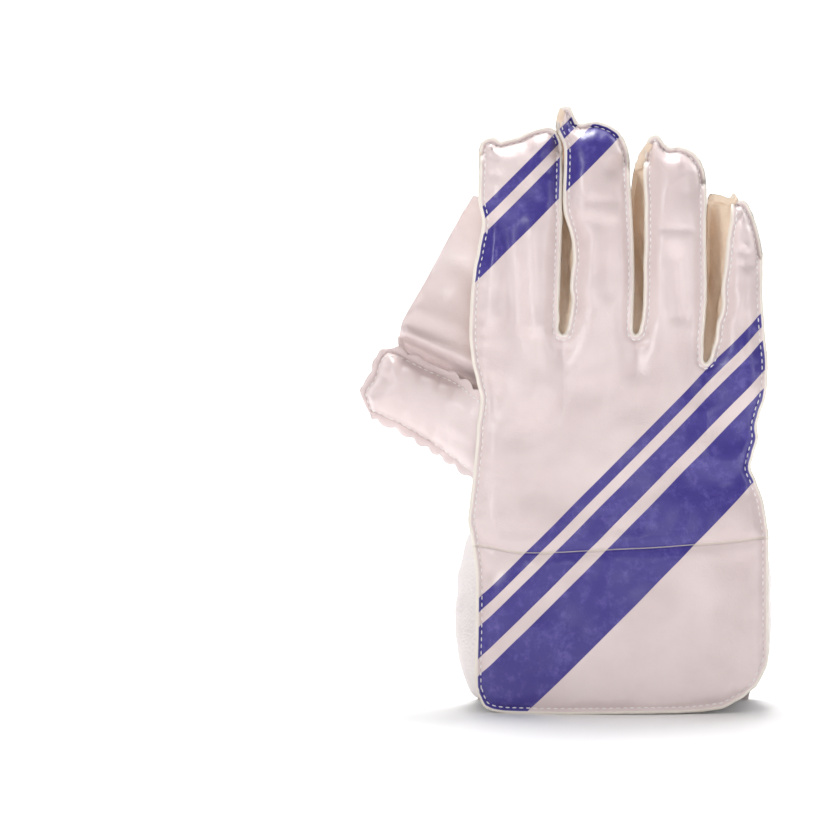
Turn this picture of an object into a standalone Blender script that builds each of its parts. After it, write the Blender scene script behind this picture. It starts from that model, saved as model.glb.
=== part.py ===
"""A right-hand wicketkeeping glove standing on its cuff.

The back faces -Y, the palm +Y, the fingers point up and the thumb points to -X.
It is modelled round the middle of the back panel, then moved as a whole so that the origin
is on the floor under the middle of the glove.
"""

import math
from collections import namedtuple

import bmesh
import bpy

# Driving sizes, in metres
GLOVE_HEIGHT = 0.300        # hem to the highest gathered fingertip
GLOVE_WIDTH = 0.151         # across the back panel at the cuff
HAND_DEPTH = 0.040          # scale of the glove's thickness from back to palm
FINGER_CURL = 0.014         # how far the fingertips lean towards the palm
THUMB_LENGTH = 0.105        # palm end of the thumb's facing to its tip
THUMB_WIDTH = 0.038         # across the thumb, seam flange to seam flange
THUMB_DEPTH = 0.030         # through the thumb's two padded halves
THUMB_SLOPE = math.radians(25.5)
THUMB_MIDDLE = 0.006        # height of the thumb's seam above the hand's middle, at its root
THUMB_LEAN = 0.010          # how much further it leans to the palm at its tip
CUFF_PAD_HEIGHT = 0.0780    # the pillow on the palm side of the cuff
CUFF_PAD_PUFF = 0.016       # how far that pillow swells
CUFF_BAND_HEIGHT = 0.0075   # the stitched strip above it
GUSSET_BULGE = 0.012        # swell of the cuff's thumb-side gusset
WEB_FOLD = 0.006            # depth of the web's folds
BACK_WALL = 0.004           # padded vinyl and foam
PALM_WALL = 0.003           # ribbed rubber on its backing
THUMB_WALL = 0.003
WEB_WALL = 0.003
SIDE_WALL = 0.0015          # single leather of the finger walls
GUSSET_WALL = 0.002
FLANGE = 0.003              # raw seam edge that stands past the stitches
SEAM_GAP = 0.0004           # clearance between neighbouring pieces
WALL_GAP = 0.0006           # clearance of a wall's edge to a curved panel

HALF_WIDTH = GLOVE_WIDTH / 2
TIP_SHARE = 0.6                # length over which a fingertip closes, as a share of the depth
TIP_ROUND = TIP_SHARE * HAND_DEPTH
BAND_TOP = CUFF_PAD_HEIGHT + CUFF_BAND_HEIGHT + 2 * SEAM_GAP

# Hems: share of the width that a corner takes, its rise as a share of GLOVE_HEIGHT, its curve
HEM_LEFT, HEM_LEFT_RISE, HEM_LEFT_POWER = 0.07, 0.012, 2.0
HEM_RIGHT, HEM_RIGHT_RISE, HEM_RIGHT_POWER = 0.28, 0.050, 2.2
HEM_FADE = 0.15                # share of GLOVE_HEIGHT over which the rows straighten
ROW_CLEARANCE = 0.004          # least height of the first row over a hem

# Finger walls: how they start over a slit's bottom and end under a fingertip
LEG_START, LEG_SPREAD = 1.6, 1.1
LEG_BELOW_TIP, WALL_BELOW_TIP = 0.25, 0.30
BASE_HALF, BASE_RISE = 0.6, 0.25

# Cuff gussets: swell at hem and top, and the heights where it fades, as shares of the cuff's
GUSSET_HEM, GUSSET_TOP = 0.45, 0.15
GUSSET_ROUND, GUSSET_END, GUSSET_FADE = 0.192, 1.07, 0.23
THUMB_GUSSET_FOOT, LITTLE_GUSSET_FOOT, LITTLE_GUSSET_SHARE = 0.020, 0.040, 0.45

# Web: waves of its fold from the index finger to the thumb, and where it ends on the thumb
WEB_WAVES, WEB_SLANT, WEB_ON_THUMB = 1.1, 0.6, 0.9

# Cuff pad: its square corners, the arch of its hem and the fullness of its swell
PAD_CORNER, PAD_ARCH, PAD_ARCH_POWER = 0.08, 0.030, 1.3
PAD_RIM, PAD_ACROSS, PAD_UP = 0.3, 0.7, 0.6

# Heights are shares of GLOVE_HEIGHT, places across are shares of HALF_WIDTH
Edge = namedtuple("Edge", "height left right")
Slit = namedtuple("Slit", "height left right")
Depth = namedtuple("Depth", "height back_edge back_crown palm_edge palm_crown puff")
Tip = namedtuple("Tip", "across height")
Lobe = namedtuple("Lobe", "along lower upper")
Point = namedtuple("Point", "across height")

BACK_EDGES = [
    Edge(0.000, -0.885, 0.905), Edge(0.030, -0.925, 0.955), Edge(0.065, -0.940, 0.973),
    Edge(0.230, -0.934, 0.987), Edge(0.310, -0.987, 0.978), Edge(0.370, -0.960, 0.914),
    Edge(0.400, -0.945, 0.868), Edge(0.450, -0.925, 0.915), Edge(0.510, -0.905, 0.960),
    Edge(0.570, -0.955, 0.988), Edge(0.690, -0.960, 0.966), Edge(0.750, -0.940, 0.960),
    Edge(0.810, -0.890, 0.920), Edge(0.850, -0.914, 0.900), Edge(1.000, -0.905, 0.900)]
PALM_EDGES = [
    Edge(0.000, -0.910, 0.905), Edge(0.065, -0.950, 0.973), Edge(0.230, -0.950, 0.985),
    Edge(0.290, -0.967, 0.978), Edge(0.370, -0.950, 0.914), Edge(0.400, -0.940, 0.868),
    Edge(0.450, -0.920, 0.915), Edge(0.530, -0.870, 0.965), Edge(0.600, -0.820, 0.980),
    Edge(0.700, -0.830, 0.962), Edge(0.800, -0.850, 0.925), Edge(0.880, -0.885, 0.900),
    Edge(1.000, -0.905, 0.900)]

# The edges of the two fingers beside each slit, from its bottom up
BACK_SLITS = [
    [Slit(0.613, -0.344, -0.344), Slit(0.650, -0.397, -0.311), Slit(0.717, -0.424, -0.318),
     Slit(0.777, -0.411, -0.358), Slit(0.820, -0.402, -0.387), Slit(1.000, -0.400, -0.385)],
    [Slit(0.613, 0.126, 0.126), Slit(0.650, 0.086, 0.166), Slit(0.717, 0.079, 0.185),
     Slit(0.800, 0.086, 0.192), Slit(0.873, 0.106, 0.179), Slit(1.000, 0.119, 0.159)],
    [Slit(0.572, 0.563, 0.563), Slit(0.610, 0.523, 0.616), Slit(0.667, 0.530, 0.675),
     Slit(0.733, 0.556, 0.715), Slit(0.817, 0.583, 0.728), Slit(1.000, 0.589, 0.742)]]
PALM_SLITS = [
    [Slit(0.755, -0.450, -0.450), Slit(0.790, -0.462, -0.432), Slit(0.840, -0.445, -0.410),
     Slit(0.890, -0.415, -0.390), Slit(1.000, -0.405, -0.385)],
    [Slit(0.745, 0.068, 0.068), Slit(0.785, 0.046, 0.086), Slit(0.830, 0.048, 0.092),
     Slit(0.880, 0.075, 0.112), Slit(1.000, 0.085, 0.122)],
    [Slit(0.700, 0.576, 0.576), Slit(0.740, 0.556, 0.598), Slit(0.800, 0.560, 0.600),
     Slit(0.860, 0.568, 0.610), Slit(1.000, 0.572, 0.620)]]

# Distances from the hand's middle surface, as shares of HAND_DEPTH
DEPTHS = [
    Depth(0.000, 0.750, 0.225, 0.600, 0.150, 0.000), Depth(0.130, 0.725, 0.225, 0.575, 0.150, 0.000),
    Depth(0.270, 0.600, 0.200, 0.475, 0.150, 0.000), Depth(0.400, 0.475, 0.175, 0.400, 0.150, 0.000),
    Depth(0.530, 0.388, 0.125, 0.338, 0.125, 0.025), Depth(0.620, 0.325, 0.088, 0.300, 0.088, 0.062),
    Depth(0.750, 0.275, 0.038, 0.262, 0.038, 0.100), Depth(1.000, 0.250, 0.012, 0.238, 0.012, 0.100)]

# Gathered tip of each finger, as shares across that finger
FINGERS = ["index", "middle", "ring", "little"]
TIPS = {
    "index": [Tip(0.00, 0.930), Tip(0.10, 0.938), Tip(0.30, 0.933), Tip(0.60, 0.945),
              Tip(0.85, 0.963), Tip(1.00, 0.942)],
    "middle": [Tip(0.00, 0.982), Tip(0.10, 0.998), Tip(0.25, 0.970), Tip(0.50, 0.976),
               Tip(0.75, 0.955), Tip(1.00, 0.897)],
    "ring": [Tip(0.00, 0.905), Tip(0.22, 0.948), Tip(0.36, 0.931), Tip(0.60, 0.934),
             Tip(0.85, 0.910), Tip(1.00, 0.870)],
    "little": [Tip(0.00, 0.828), Tip(0.20, 0.856), Tip(0.36, 0.838), Tip(0.50, 0.841),
               Tip(0.80, 0.808), Tip(1.00, 0.772)]}

PALM_TIPS = dict(TIPS, little=[Tip(0.00, 0.838), Tip(0.12, 0.852), Tip(0.32, 0.850), Tip(0.50, 0.838),
                               Tip(0.80, 0.808), Tip(1.00, 0.772)])

# Half widths of the thumb along its length, as shares of half of THUMB_WIDTH
THUMB_LOBES = [
    Lobe(0.00, 1.02, 1.00), Lobe(0.34, 1.12, 0.90), Lobe(0.46, 1.05, 0.90), Lobe(0.60, 0.95, 1.02),
    Lobe(0.76, 0.88, 0.99), Lobe(0.90, 0.90, 1.00), Lobe(1.00, 0.86, 0.94)]
THUMB_TIP = [Tip(0.00, 0.890), Tip(0.10, 0.945), Tip(0.28, 0.995), Tip(0.50, 0.985),
             Tip(0.80, 0.995), Tip(0.93, 0.980), Tip(1.00, 0.930)]
THUMB_ROOT = Point(-0.400, 0.397)   # palm end of its middle line
THUMB_BACK_EDGE = -0.86   # where the thumb's back half ends, just under the back panel's edge

# Rim of the palm facing's thumb hole on either side of the thumb's palm end, as shares of
# THUMB_LENGTH along the thumb and of half of THUMB_WIDTH across it
Rim = namedtuple("Rim", "along across")
HOLE_BELOW = [Rim(0.80, -1.30), Rim(0.60, -1.34), Rim(0.40, -1.40), Rim(0.25, -1.45),
              Rim(0.12, -1.40), Rim(0.05, -1.20)]
HOLE_ABOVE = [Rim(0.06, 1.06), Rim(0.20, 1.05), Rim(0.34, 1.02), Rim(0.46, 1.03),
              Rim(0.60, 1.16), Rim(0.80, 1.20)]

# Outer edge of the web, from the index finger down to the thumb
WEB_EDGE = [Point(-0.955, 0.848), Point(-1.085, 0.790), Point(-1.260, 0.708), Point(-1.424, 0.638),
            Point(-1.450, 0.606)]
WEB_TOP = 0.842    # height where the web meets the index side wall
WEB_SEAM = 0.09    # its distance there from the hand's middle, as a share of HAND_DEPTH

# Rows of each mesh, as shares of GLOVE_HEIGHT, and columns as shares across a finger
BODY_ROWS = [0.0, 0.035, 0.07, 0.13, 0.20, 0.27, 0.32, 0.36, 0.40, 0.45, 0.50, 0.55]
ACROSS = [0.0, 0.10, 0.24, 0.40, 0.60, 0.80, 0.92, 1.0]
TIP_ROWS = [1.0, 0.62, 0.32, 0.12, 0.0]  # shares of TIP_ROUND below the tip's seam
FINGER_ROWS = 3
WALL_ROWS = 7
INDEX_WALL_ROWS, LITTLE_WALL_ROWS = 9, 11
WEB_ROWS, WEB_COLUMNS = 12, 6
BAND_ROWS, PAD_ROWS, CUFF_COLUMNS = 3, 9, 15
PUFF_COLUMN = 5          # of DEPTHS


def smooth(rows, at, column):
    """Value of a table's column, on a smooth curve through its rows, flat past its ends."""
    keys = [row[0] for row in rows]
    values = [row[column] for row in rows]
    if at <= keys[0]:
        return values[0]
    if at >= keys[-1]:
        return values[-1]
    i = max(n for n in range(len(keys) - 1) if keys[n] <= at)
    slopes = []
    for n in (i, i + 1):
        low, high = max(n - 1, 0), min(n + 1, len(keys) - 1)
        slopes.append((values[high] - values[low]) / (keys[high] - keys[low]))
    span = keys[i + 1] - keys[i]
    t = (at - keys[i]) / span
    ease = t * t * (3 - 2 * t)
    bend = span * (slopes[0] * t * (1 - t) ** 2 - slopes[1] * t * t * (1 - t))
    return values[i] + (values[i + 1] - values[i]) * ease + bend * 0.6


def mix(a, b, t):
    return a + (b - a) * t


def middle(z):
    """The surface that the glove's depth is measured from: it leans to the palm at the fingers."""
    return FINGER_CURL * max(0.0, (z / GLOVE_HEIGHT - 0.45) / 0.55) ** 1.6


class Side:
    """One of the two big panels: its outline, its slits and its depth from the middle surface."""

    def __init__(self, sign, edges, slits, tips, wall, edge_column, crown_column):
        self.sign, self.edges, self.slits, self.tips, self.wall = sign, edges, slits, tips, wall
        self.edge_column, self.crown_column = edge_column, crown_column

    def limits(self, z):
        """Left and right edge of the whole panel."""
        h = z / GLOVE_HEIGHT
        return [HALF_WIDTH * smooth(self.edges, h, column) for column in (1, 2)]

    def finger_limits(self, z, k):
        """Left and right edge of finger k, or of its share of the hand below the slits."""
        h = z / GLOVE_HEIGHT
        left, right = self.limits(z)
        if k > 0:
            left = HALF_WIDTH * smooth(self.slits[k - 1], h, 2)
        if k < 3:
            right = HALF_WIDTH * smooth(self.slits[k], h, 1)
        return left, right

    def across(self, x, z, k):
        left, right = self.finger_limits(z, k)
        return min(1.0, max(0.0, (x - left) / (right - left)))

    def tip(self, u, k):
        return GLOVE_HEIGHT * smooth(self.tips[FINGERS[k]], u, 1)

    def full_depth(self, x, z, k):
        h = z / GLOVE_HEIGHT
        left, right = self.limits(z)
        whole = min(1.0, abs(2 * (x - left) / (right - left) - 1))
        finger = 2 * self.across(x, z, k) - 1
        depth = smooth(DEPTHS, h, self.edge_column)
        depth += smooth(DEPTHS, h, self.crown_column) * (1 - whole ** 2)
        depth += smooth(DEPTHS, h, PUFF_COLUMN) * (1 - finger ** 2)
        return HAND_DEPTH * depth

    def outer(self, x, z, k):
        """Y of the panel's outer surface; it closes onto the other panel at the fingertip's seam."""
        below = self.tip(self.across(x, z, k), k) - FLANGE - z
        t = min(1.0, max(0.0, below / TIP_ROUND))
        seam = SEAM_GAP / 2 + self.wall
        depth = mix(seam, max(seam, self.full_depth(x, z, k)), math.sqrt(1 - (1 - t) ** 2))
        return middle(z) + self.sign * depth

    def inner(self, x, z, k, gap=0.0):
        return self.outer(x, z, k) - self.sign * (self.wall + gap)


BACK = Side(-1, BACK_EDGES, BACK_SLITS, TIPS, BACK_WALL, 1, 2)
PALM = Side(1, PALM_EDGES, PALM_SLITS, PALM_TIPS, PALM_WALL, 3, 4)


def material(name, color, roughness):
    made = bpy.data.materials.new(name)
    made.use_nodes = True
    shader = made.node_tree.nodes["Principled BSDF"]
    shader.inputs["Base Color"].default_value = (*color, 1.0)
    shader.inputs["Roughness"].default_value = roughness
    return made


def add_object(name, mesh, surface):
    mesh.materials.append(surface)
    made = bpy.data.objects.new(name, mesh)
    bpy.context.scene.collection.objects.link(made)
    mesh.shade_smooth()
    mesh.set_sharp_from_angle(angle=math.radians(40))
    return made


def thick_sheet(name, fronts, backs, quads, surface):
    """A closed solid from two matching sheets of points, joined round every free edge."""
    count = len(fronts)
    faces = [tuple(quad) for quad in quads]
    faces += [tuple(n + count for n in reversed(quad)) for quad in quads]
    edges = {(quad[n], quad[(n + 1) % len(quad)]) for quad in quads for n in range(len(quad))}
    faces += [(b, a, a + count, b + count) for a, b in sorted(edges) if (b, a) not in edges]
    mesh = bpy.data.meshes.new(name)
    mesh.from_pydata(list(fronts) + list(backs), [], faces)
    work = bmesh.new()
    work.from_mesh(mesh)
    bmesh.ops.triangulate(work, faces=work.faces)
    bmesh.ops.recalc_face_normals(work, faces=work.faces)
    work.to_mesh(mesh)
    work.free()
    return add_object(name, mesh, surface)


def grid_quads(rows, columns):
    return [(r * columns + c, r * columns + c + 1, (r + 1) * columns + c + 1, (r + 1) * columns + c)
            for r in range(rows - 1) for c in range(columns - 1)]


def hem(u):
    """Rise of the back panel's hem at its rounded corners, u running across the panel."""
    left, right = max(0.0, 1 - u / HEM_LEFT), max(0.0, (u - 1 + HEM_RIGHT) / HEM_RIGHT)
    rise = HEM_LEFT_RISE * left ** HEM_LEFT_POWER + HEM_RIGHT_RISE * right ** HEM_RIGHT_POWER
    return GLOVE_HEIGHT * rise


def panel_points(side, floor):
    """Places of the panel's vertices: the hand's rows and the four fingers above them."""
    places, quads = {}, []
    rows = [GLOVE_HEIGHT * h for h in BODY_ROWS if GLOVE_HEIGHT * h > floor + ROW_CLEARANCE]
    rows = [floor] + rows
    last = len(ACROSS) - 1
    for k in range(4):
        left_slit = side.slits[max(k - 1, 0)][0].height
        right_slit = side.slits[min(k, 2)][0].height
        for j, u in enumerate(ACROSS):
            top = GLOVE_HEIGHT * mix(left_slit, right_slit, u)
            column = k * last + j
            levels = rows + [top]
            for i, z in enumerate(levels):
                left, right = side.finger_limits(z, k)
                x = mix(left, right, u)
                whole = (x + HALF_WIDTH) / GLOVE_WIDTH
                rise = 0.0 if floor else hem(whole) * max(0.0, 1 - z / (HEM_FADE * GLOVE_HEIGHT))
                places[("hand", column, i)] = (x, z + rise, k)
            tip = side.tip(u, k)
            closing = [tip - FLANGE - TIP_ROUND * share for share in TIP_ROWS]
            straight = [mix(top, closing[0], n / FINGER_ROWS) for n in range(FINGER_ROWS)]
            heights = straight + closing + [tip]
            for i, z in enumerate(heights):
                left, right = side.finger_limits(z, k)
                key = ("hand", column, len(rows)) if i == 0 else (k, j, i)
                places[key] = (mix(left, right, u), z, k)
        for j in range(last):
            column = k * last + j
            for i in range(len(rows)):
                quads.append([("hand", column, i), ("hand", column + 1, i),
                              ("hand", column + 1, i + 1), ("hand", column, i + 1)])
            for i in range(len(heights) - 1):
                corners = [(j, i), (j + 1, i), (j + 1, i + 1), (j, i + 1)]
                quads.append([("hand", k * last + a, len(rows)) if b == 0 else (k, a, b)
                              for a, b in corners])
    return places, quads


def panel(name, side, floor, surface):
    places, quads = panel_points(side, floor)
    order = {key: n for n, key in enumerate(places)}
    fronts = [(x, side.outer(x, z, k), z) for x, z, k in places.values()]
    backs = [(x, side.inner(x, z, k), z) for x, z, k in places.values()]
    return thick_sheet(name, fronts, backs, [[order[key] for key in quad] for quad in quads], surface)


def wall(name, back_path, palm_path, surface, inward, thickness=SIDE_WALL, bulge=None):
    """A wall from the back panel to the palm panel along two matching paths of (x, z, finger).

    inward is +1 where the finger lies left of the path's direction, seen from the back, and -1
    where it lies right; the wall thickens to that side.
    """
    rings = []
    for offset in (0.0, thickness):
        for path, side in ((back_path, BACK), (palm_path, PALM)):
            ring = []
            for n, (x, z, k) in enumerate(path):
                before, after = path[max(n - 1, 0)], path[min(n + 1, len(path) - 1)]
                dx, dz = after[0] - before[0], after[1] - before[1]
                size = math.hypot(dx, dz)
                px, pz = x - inward * dz / size * offset, z + inward * dx / size * offset
                ring.append((px, side.inner(px, pz, k, WALL_GAP), pz))
            rings.append(ring)
    steps = [0.0, 0.5, 1.0] if bulge is None else [0.0, 0.2, 0.4, 0.6, 0.8, 1.0]
    sheets = []
    for near, far in ((rings[0], rings[1]), (rings[2], rings[3])):
        sheet = []
        for step in steps:
            for n, (a, b) in enumerate(zip(near, far)):
                x, y, z = (mix(a[axis], b[axis], step) for axis in range(3))
                swell = bulge(z) * math.sin(math.pi * step) if bulge else 0.0
                sheet.append((x + swell, y, z))
        sheets.append(sheet)
    quads = grid_quads(len(steps), len(back_path))
    return thick_sheet(name, sheets[0], sheets[1], quads, surface)


def slit_path(side, slit, rows, end):
    """Down one finger's side of a slit, round its bottom and up the next finger's side."""
    bottom = GLOVE_HEIGHT * side.slits[slit][0].height - FLANGE
    inset = FLANGE + SEAM_GAP
    legs = []
    for k, sign, column in ((slit, -1, 1), (slit + 1, 1, 0)):
        top = min(end[column], side.tip(column, k) - FLANGE - LEG_BELOW_TIP * TIP_ROUND)
        leg = []
        for n in range(rows):
            z = mix(bottom + LEG_START * inset, top, (n / (rows - 1)) ** LEG_SPREAD)
            edge = side.finger_limits(z, k)[column]
            leg.append((edge + sign * inset, z, k))
        legs.append(leg)
    x = side.slits[slit][0].left * HALF_WIDTH
    half, rise = BASE_HALF * inset, BASE_RISE * inset
    base = [(x - half, bottom + rise, slit), (x, bottom, slit), (x + half, bottom + rise, slit + 1)]
    return legs[0][::-1] + base + legs[1]


def wall_top(k, u):
    """Height where a wall at the side u of finger k ends, under the closing fingertip."""
    return BACK.tip(u, k) - FLANGE - WALL_BELOW_TIP * TIP_ROUND


def finger_gusset(slit, surface):
    ends = (wall_top(slit + 1, 0.0), wall_top(slit, 1.0))
    back = slit_path(BACK, slit, WALL_ROWS, ends)
    palm = slit_path(PALM, slit, WALL_ROWS, ends)
    return wall(f"finger_gusset_{slit + 1}", back, palm, surface, -1)


def straight_wall(name, column, low, high, rows, surface, thickness=SIDE_WALL, bulge=None):
    """The wall at the glove's outer edge, from height low up to height high."""
    k, sign = (0, 1) if column == 0 else (3, -1)
    paths = []
    for side in (BACK, PALM):
        path = []
        for n in range(rows):
            z = mix(low, high, n / (rows - 1))
            path.append((side.finger_limits(z, k)[column] + sign * (FLANGE + SEAM_GAP), z, k))
        paths.append(path)
    return wall(name, *paths, surface, -sign, thickness, bulge)


def side_walls(surface):
    web_foot = thumb_edge(THUMB_BACK_EDGE * HALF_WIDTH, True) + 3 * SEAM_GAP
    straight_wall("index_side_wall", 0, web_foot, wall_top(0, 0.0), INDEX_WALL_ROWS, surface)
    straight_wall("little_side_wall", 1, BAND_TOP + SEAM_GAP, wall_top(3, 1.0), LITTLE_WALL_ROWS,
                  surface)


def cuff_sides(surface):
    """White gussets that let the cuff open, swelling out between the back panel and the palm pad."""
    def swell(share):
        def at(z):
            low = min(1.0, z / (GUSSET_ROUND * CUFF_PAD_HEIGHT))
            high = min(1.0, max(0.0, (GUSSET_END * BAND_TOP - z) / (GUSSET_FADE * BAND_TOP)))
            return GUSSET_BULGE * share * mix(GUSSET_HEM, 1.0, low) * mix(GUSSET_TOP, 1.0, high)
        return at

    thumb_side = thumb_edge(THUMB_BACK_EDGE * HALF_WIDTH, False) - 2 * SEAM_GAP
    straight_wall("cuff_side_thumb", 0, THUMB_GUSSET_FOOT * GLOVE_HEIGHT, thumb_side,
                  LITTLE_WALL_ROWS, surface, GUSSET_WALL, swell(-1.0))
    straight_wall("cuff_side_little", 1, LITTLE_GUSSET_FOOT * GLOVE_HEIGHT, BAND_TOP - SEAM_GAP,
                  INDEX_WALL_ROWS, surface, GUSSET_WALL, swell(LITTLE_GUSSET_SHARE))


def thumb_place(t, q):
    """World x and z of a point t along the thumb and q across it, both in metres."""
    root_x, root_z = THUMB_ROOT.across * HALF_WIDTH, THUMB_ROOT.height * GLOVE_HEIGHT
    cos, sin = math.cos(THUMB_SLOPE), math.sin(THUMB_SLOPE)
    return root_x - t * cos + q * sin, root_z + t * sin + q * cos


def thumb_edge(x, upper):
    """Height of the thumb's upper or lower outline at the place x, found by halving."""
    column, sign = (2, 1) if upper else (1, -1)
    low, high = 0.0, THUMB_LENGTH * smooth(THUMB_TIP, 1.0 if upper else 0.0, 1)
    for _ in range(24):
        t = (low + high) / 2
        q = sign * THUMB_WIDTH / 2 * smooth(THUMB_LOBES, t / THUMB_LENGTH, column)
        px, pz = thumb_place(t, q)
        low, high = (t, high) if px > x else (low, t)
    return pz


def thumb_seam(t):
    return THUMB_MIDDLE + THUMB_LEAN * max(0.0, t / THUMB_LENGTH)


def thumb_half(name, sign, start, join, surface):
    """One padded half of the thumb. start gives where a column begins and join its height there."""
    columns = [0.0, 0.08, 0.18, 0.34, 0.5, 0.66, 0.82, 0.92, 1.0]
    rows = [0.0, 0.08, 0.18, 0.30, 0.44, 0.58, 0.72, 0.84, 0.93, 1.0]
    fronts, backs = [], []
    for share in rows:
        for u in columns:
            half = THUMB_WIDTH / 2
            w = 2 * u - 1
            begin = start(w * half)
            end = THUMB_LENGTH * smooth(THUMB_TIP, u, 1)
            t = mix(begin, end, share)
            lobe = t / THUMB_LENGTH
            q = half * mix(-smooth(THUMB_LOBES, lobe, 1), smooth(THUMB_LOBES, lobe, 2), u)
            x, z = thumb_place(t, q)
            seam = SEAM_GAP / 2 + THUMB_WALL
            inset_u = min(1.0, max(0.0, (1 - abs(w)) * half / FLANGE - 1) / (half / FLANGE - 1))
            close_u = math.sqrt(max(0.0, 1 - (1 - inset_u) ** 2))
            inset_t = min(1.0, max(0.0, (end - FLANGE - t) / (0.8 * half)))
            close_t = math.sqrt(1 - (1 - inset_t) ** 2)
            depth = seam + (THUMB_DEPTH / 2 - seam) * close_u * close_t
            y = thumb_seam(t) + sign * depth
            blend = max(0.0, 1 - (t - begin) / (0.24 * THUMB_LENGTH))
            blend = blend * blend * (3 - 2 * blend)
            y = mix(y, join(x, z), blend)
            fronts.append((x, y, z))
            backs.append((x, y - sign * THUMB_WALL, z))
    return thick_sheet(name, fronts, backs, grid_quads(len(rows), len(columns)), surface)


def thumb_back_start(q):
    """The back half begins just behind the back panel's edge."""
    root_x = thumb_place(0.0, q)[0]
    return (root_x - THUMB_BACK_EDGE * HALF_WIDTH) / math.cos(THUMB_SLOPE)


def thumb_back_join(x, z):
    return BACK.inner(x, z, 0, WALL_GAP)


def thumb_facing_start(q):
    """The facing begins inside the palm's thumb hole, with a rounded end."""
    w = 2 * q / THUMB_WIDTH
    return 0.08 * THUMB_LENGTH * w * w + 2 * SEAM_GAP


def thumb_facing_join(x, z):
    return PALM.outer(x, z, 0)


def thumb(back_surface, palm_surface):
    thumb_half("thumb_back", -1, thumb_back_start, thumb_back_join, back_surface)
    thumb_half("thumb_facing", 1, thumb_facing_start, thumb_facing_join, palm_surface)


def thumb_hole_cutter():
    """A prism through the palm facing only, in the outline of the thumb hole."""
    def rim(rows):
        return [thumb_place(THUMB_LENGTH * row.along, THUMB_WIDTH / 2 * row.across) for row in rows]

    half = THUMB_WIDTH / 2
    end = [half * w for w in (-1.0, -0.8, -0.5, -0.2, 0.1, 0.4, 0.7, 0.95)]
    outline = rim(HOLE_BELOW) + [thumb_place(thumb_facing_start(q) - 3 * SEAM_GAP, q) for q in end]
    outline += rim(HOLE_ABOVE)
    count = len(outline)
    low, high = 0.0, 2.0 * HAND_DEPTH
    points = [(x, y, z) for y in (low, high) for x, z in outline]
    faces = [tuple(range(count)), tuple(reversed(range(count, 2 * count)))]
    faces += [(n, n + count, (n + 1) % count + count, (n + 1) % count) for n in range(count)]
    mesh = bpy.data.meshes.new("thumb_hole_cutter")
    mesh.from_pydata(points, [], faces)
    work = bmesh.new()
    work.from_mesh(mesh)
    bmesh.ops.recalc_face_normals(work, faces=work.faces)
    work.to_mesh(mesh)
    work.free()
    cutter = bpy.data.objects.new("thumb_hole_cutter", mesh)
    bpy.context.scene.collection.objects.link(cutter)
    cutter.hide_render = True
    cutter.display_type = "WIRE"
    return cutter


def palm_facing(surface):
    made = panel("palm_facing", PALM, BAND_TOP + SEAM_GAP, surface)
    cut = made.modifiers.new("thumb_hole", "BOOLEAN")
    cut.operation = "DIFFERENCE"
    cut.solver = "EXACT"
    cut.object = thumb_hole_cutter()


def index_wall_x(z, y):
    """Place across of the index side wall's outer face at height z and depth y."""
    (back_x, back_y), (palm_x, palm_y) = (
        (x, side.inner(x, z, 0, WALL_GAP))
        for side, x in ((side, side.limits(z)[0] + FLANGE + SEAM_GAP) for side in (BACK, PALM)))
    return mix(back_x, palm_x, (y - back_y) / (palm_y - back_y))


def web(surface):
    """The sheet between the index finger and the thumb, with a valley and a ridge across it."""
    rows, columns = WEB_ROWS, WEB_COLUMNS
    fronts, backs = [], []
    for r in range(rows):
        v = r / (rows - 1)
        z_right = mix(GLOVE_HEIGHT * WEB_TOP, thumb_edge(THUMB_BACK_EDGE * HALF_WIDTH, True), v)
        y_right = middle(z_right) + WEB_SEAM * HAND_DEPTH
        x_right = index_wall_x(z_right, y_right - WEB_WALL / 2) - 2 * SEAM_GAP
        place = v * (len(WEB_EDGE) - 1)
        edge = [(n, point.across, point.height) for n, point in enumerate(WEB_EDGE)]
        x_left, z_left = HALF_WIDTH * smooth(edge, place, 1), GLOVE_HEIGHT * smooth(edge, place, 2)
        for c in range(columns):
            u = c / (columns - 1)
            x, z = mix(x_right, x_left, u), mix(z_right, z_left, u)
            foot = thumb_edge(x, True) + 2 * SEAM_GAP
            z = foot if r == rows - 1 else max(z, foot + WEB_WALL * (rows - 1 - r) / 2)
            y_left = thumb_seam(WEB_ON_THUMB * THUMB_LENGTH)
            turn = WEB_WAVES * math.tau * v - WEB_SLANT * u
            fold = WEB_FOLD * math.sin(turn) * math.sin(math.pi * v) * u
            y = mix(y_right, y_left, u) + fold
            fronts.append((x, y - WEB_WALL / 2, z))
            backs.append((x, y + WEB_WALL / 2, z))
    return thick_sheet("web", fronts, backs, grid_quads(rows, columns), surface)


def cuff_grid(name, low, high, rows, lift, inner, outer, surface):
    """A piece on the palm side of the cuff between two heights, as wide as the palm's edges."""
    fronts, backs = [], []
    for r in range(rows):
        v = r / (rows - 1)
        for c in range(CUFF_COLUMNS):
            u = c / (CUFF_COLUMNS - 1)
            z = mix(low + lift(u), high, v)
            left, right = PALM.limits(z)
            x = mix(left, right, u)
            base = PALM.sign * PALM.full_depth(x, z, finger_at(x, z))
            fronts.append((x, base + outer(u, v), z))
            backs.append((x, base + inner(u, v), z))
    return thick_sheet(name, fronts, backs, grid_quads(rows, CUFF_COLUMNS), surface)


def finger_at(x, z):
    for k in range(3):
        if x < PALM.finger_limits(z, k)[1]:
            return k
    return 3


def cuff_band(surface):
    low = CUFF_PAD_HEIGHT + SEAM_GAP
    cuff_grid("cuff_band", low, low + CUFF_BAND_HEIGHT, BAND_ROWS, lambda u: 0.0,
              lambda u, v: -PALM_WALL, lambda u, v: 0.0, surface)


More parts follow.
